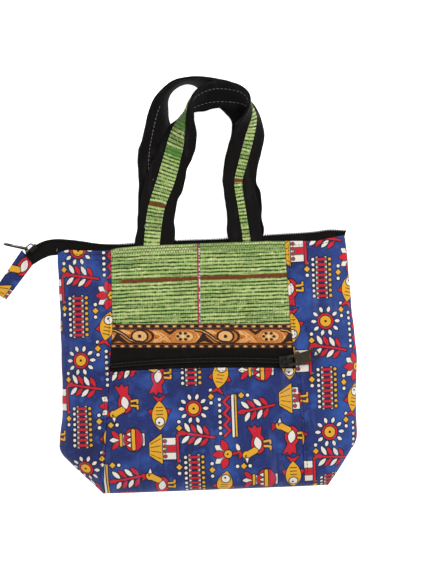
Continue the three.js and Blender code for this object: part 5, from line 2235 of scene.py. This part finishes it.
@dataclass
class LooseThreads:
    """Short ends of thread that stand out of the seams and the weave."""

    thread: Material
    radius: float = 0.2
    steps: int = 10
    # Start, height above the front or the floor, turn, length and bend of each end
    on_front: tuple[Numbers, ...] = (
        (-5.1, 83.5, 1.1, 70, 4.2, 1.6),
        (37.2, 93.8, 1.1, 20, 2.2, 4.5),
        (38.4, 94.6, 1.2, 200, 2.4, 4.0),
        (-75, 62, 1.1, -35, 3.2, -1.2),
        (64, 50.5, 1.1, 40, 3.6, 2.0),
    )
    standing: tuple[Numbers, ...] = (
        (-54.6, 134.2, 12.8, 25, 3.0, 1.5),
        (-40.6, 175.5, 13.2, 88, 5.4, -0.6),
        (-44.4, 178.8, 12.6, 40, 1.2, 0.5),
        (136, 121.6, 9.4, 20, 5.5, 1.4),
        (137.5, 122.4, 9.0, 62, 3.6, -1.8),
        (-138.6, 114.8, 9.6, 48, 2.8, 0.8),
    )

    def build(self) -> None:
        """Adds the ends."""
        tubes = Tubes()
        for x, y, lift, turn, length, bend in self.on_front:
            self.lay(tubes, (x, y, float(FORM.front(np.array(x), np.array(y))) + lift), turn, length, bend)
        for x, y, height, turn, length, bend in self.standing:
            self.lay(tubes, (x, y, height), turn, length, bend)
        settle(tubes.build("loose_threads"), self.thread)

    def lay(self, tubes: Tubes, start: tuple[float, float, float], turn: float, length: float,
            bend: float) -> None:
        """Lays one end.

        Args:
            tubes: Tubes that it is added to.
            start: Its first point.
            turn: Its first direction in degrees.
            length: Its length.
            bend: How far it turns along its length, in radians.
        """
        share = np.linspace(0, 1, self.steps + 1)
        angle = math.radians(turn) + bend * share
        step = np.stack([np.cos(angle), np.sin(angle), 0.3 - 0.5 * share], axis=-1) * (length / self.steps)
        tubes.add(np.array(start) + np.cumsum(step, axis=0), self.radius)


def main() -> None:
    """Builds the bag piece by piece."""
    logging.basicConfig(level=logging.INFO, format="%(name)s %(message)s")
    Studio().build()
    printed = PrintedCotton().make()
    yarn = HandloomCotton()
    handloom = yarn.make()
    dark_thread = SewingThread("dark_thread", srgb(20, 18, 26), srgb(40, 36, 48)).make()
    pale_thread = SewingThread("pale_thread", srgb(176, 174, 178), srgb(116, 112, 118)).make()
    BodyPanels(printed, Stitching(dark_thread, 3.3, 2.5)).build()
    WovenPanel(handloom, yarn).build()
    BorderBand(BlockPrint().make()).build()
    tape, nylon, cotton = ZipTape().make(), CoilNylon().make(), BlackCotton().make()
    tick_thread = SewingThread("tick_thread", srgb(92, 84, 74), srgb(52, 47, 42)).make()
    PocketZip(tape, nylon, Stitching(tick_thread, 1.32, 0.7, 0.2)).build()
    TopZip(tape, nylon).build()
    EndTab(printed).build()
    seam_thread = SewingThread("seam_thread", srgb(142, 142, 166), srgb(92, 92, 112)).make()
    seam = Stitching(seam_thread)
    Handle("rear_handle", REAR_HANDLE, -1, cotton, handloom, yarn, seam, (62.3, 332.3), 130,
           seams=((-7.7, 0.38),)).build()
    Handle("front_handle", FRONT_HANDLE, 1, cotton, handloom, yarn, seam, (39.3, 273.3), 120,
           plain_patches=((91.8, 4.5), (123.3, 10))).build()
    black_metal = PaintedMetal("black_enamel", srgb(22, 20, 16), srgb(10, 9, 8), srgb(84, 78, 62)).make()
    ZipHardware(PaintedMetal().make(), black_metal).build()
    LooseThreads(pale_thread).build()


if __name__ == "__main__":
    main()
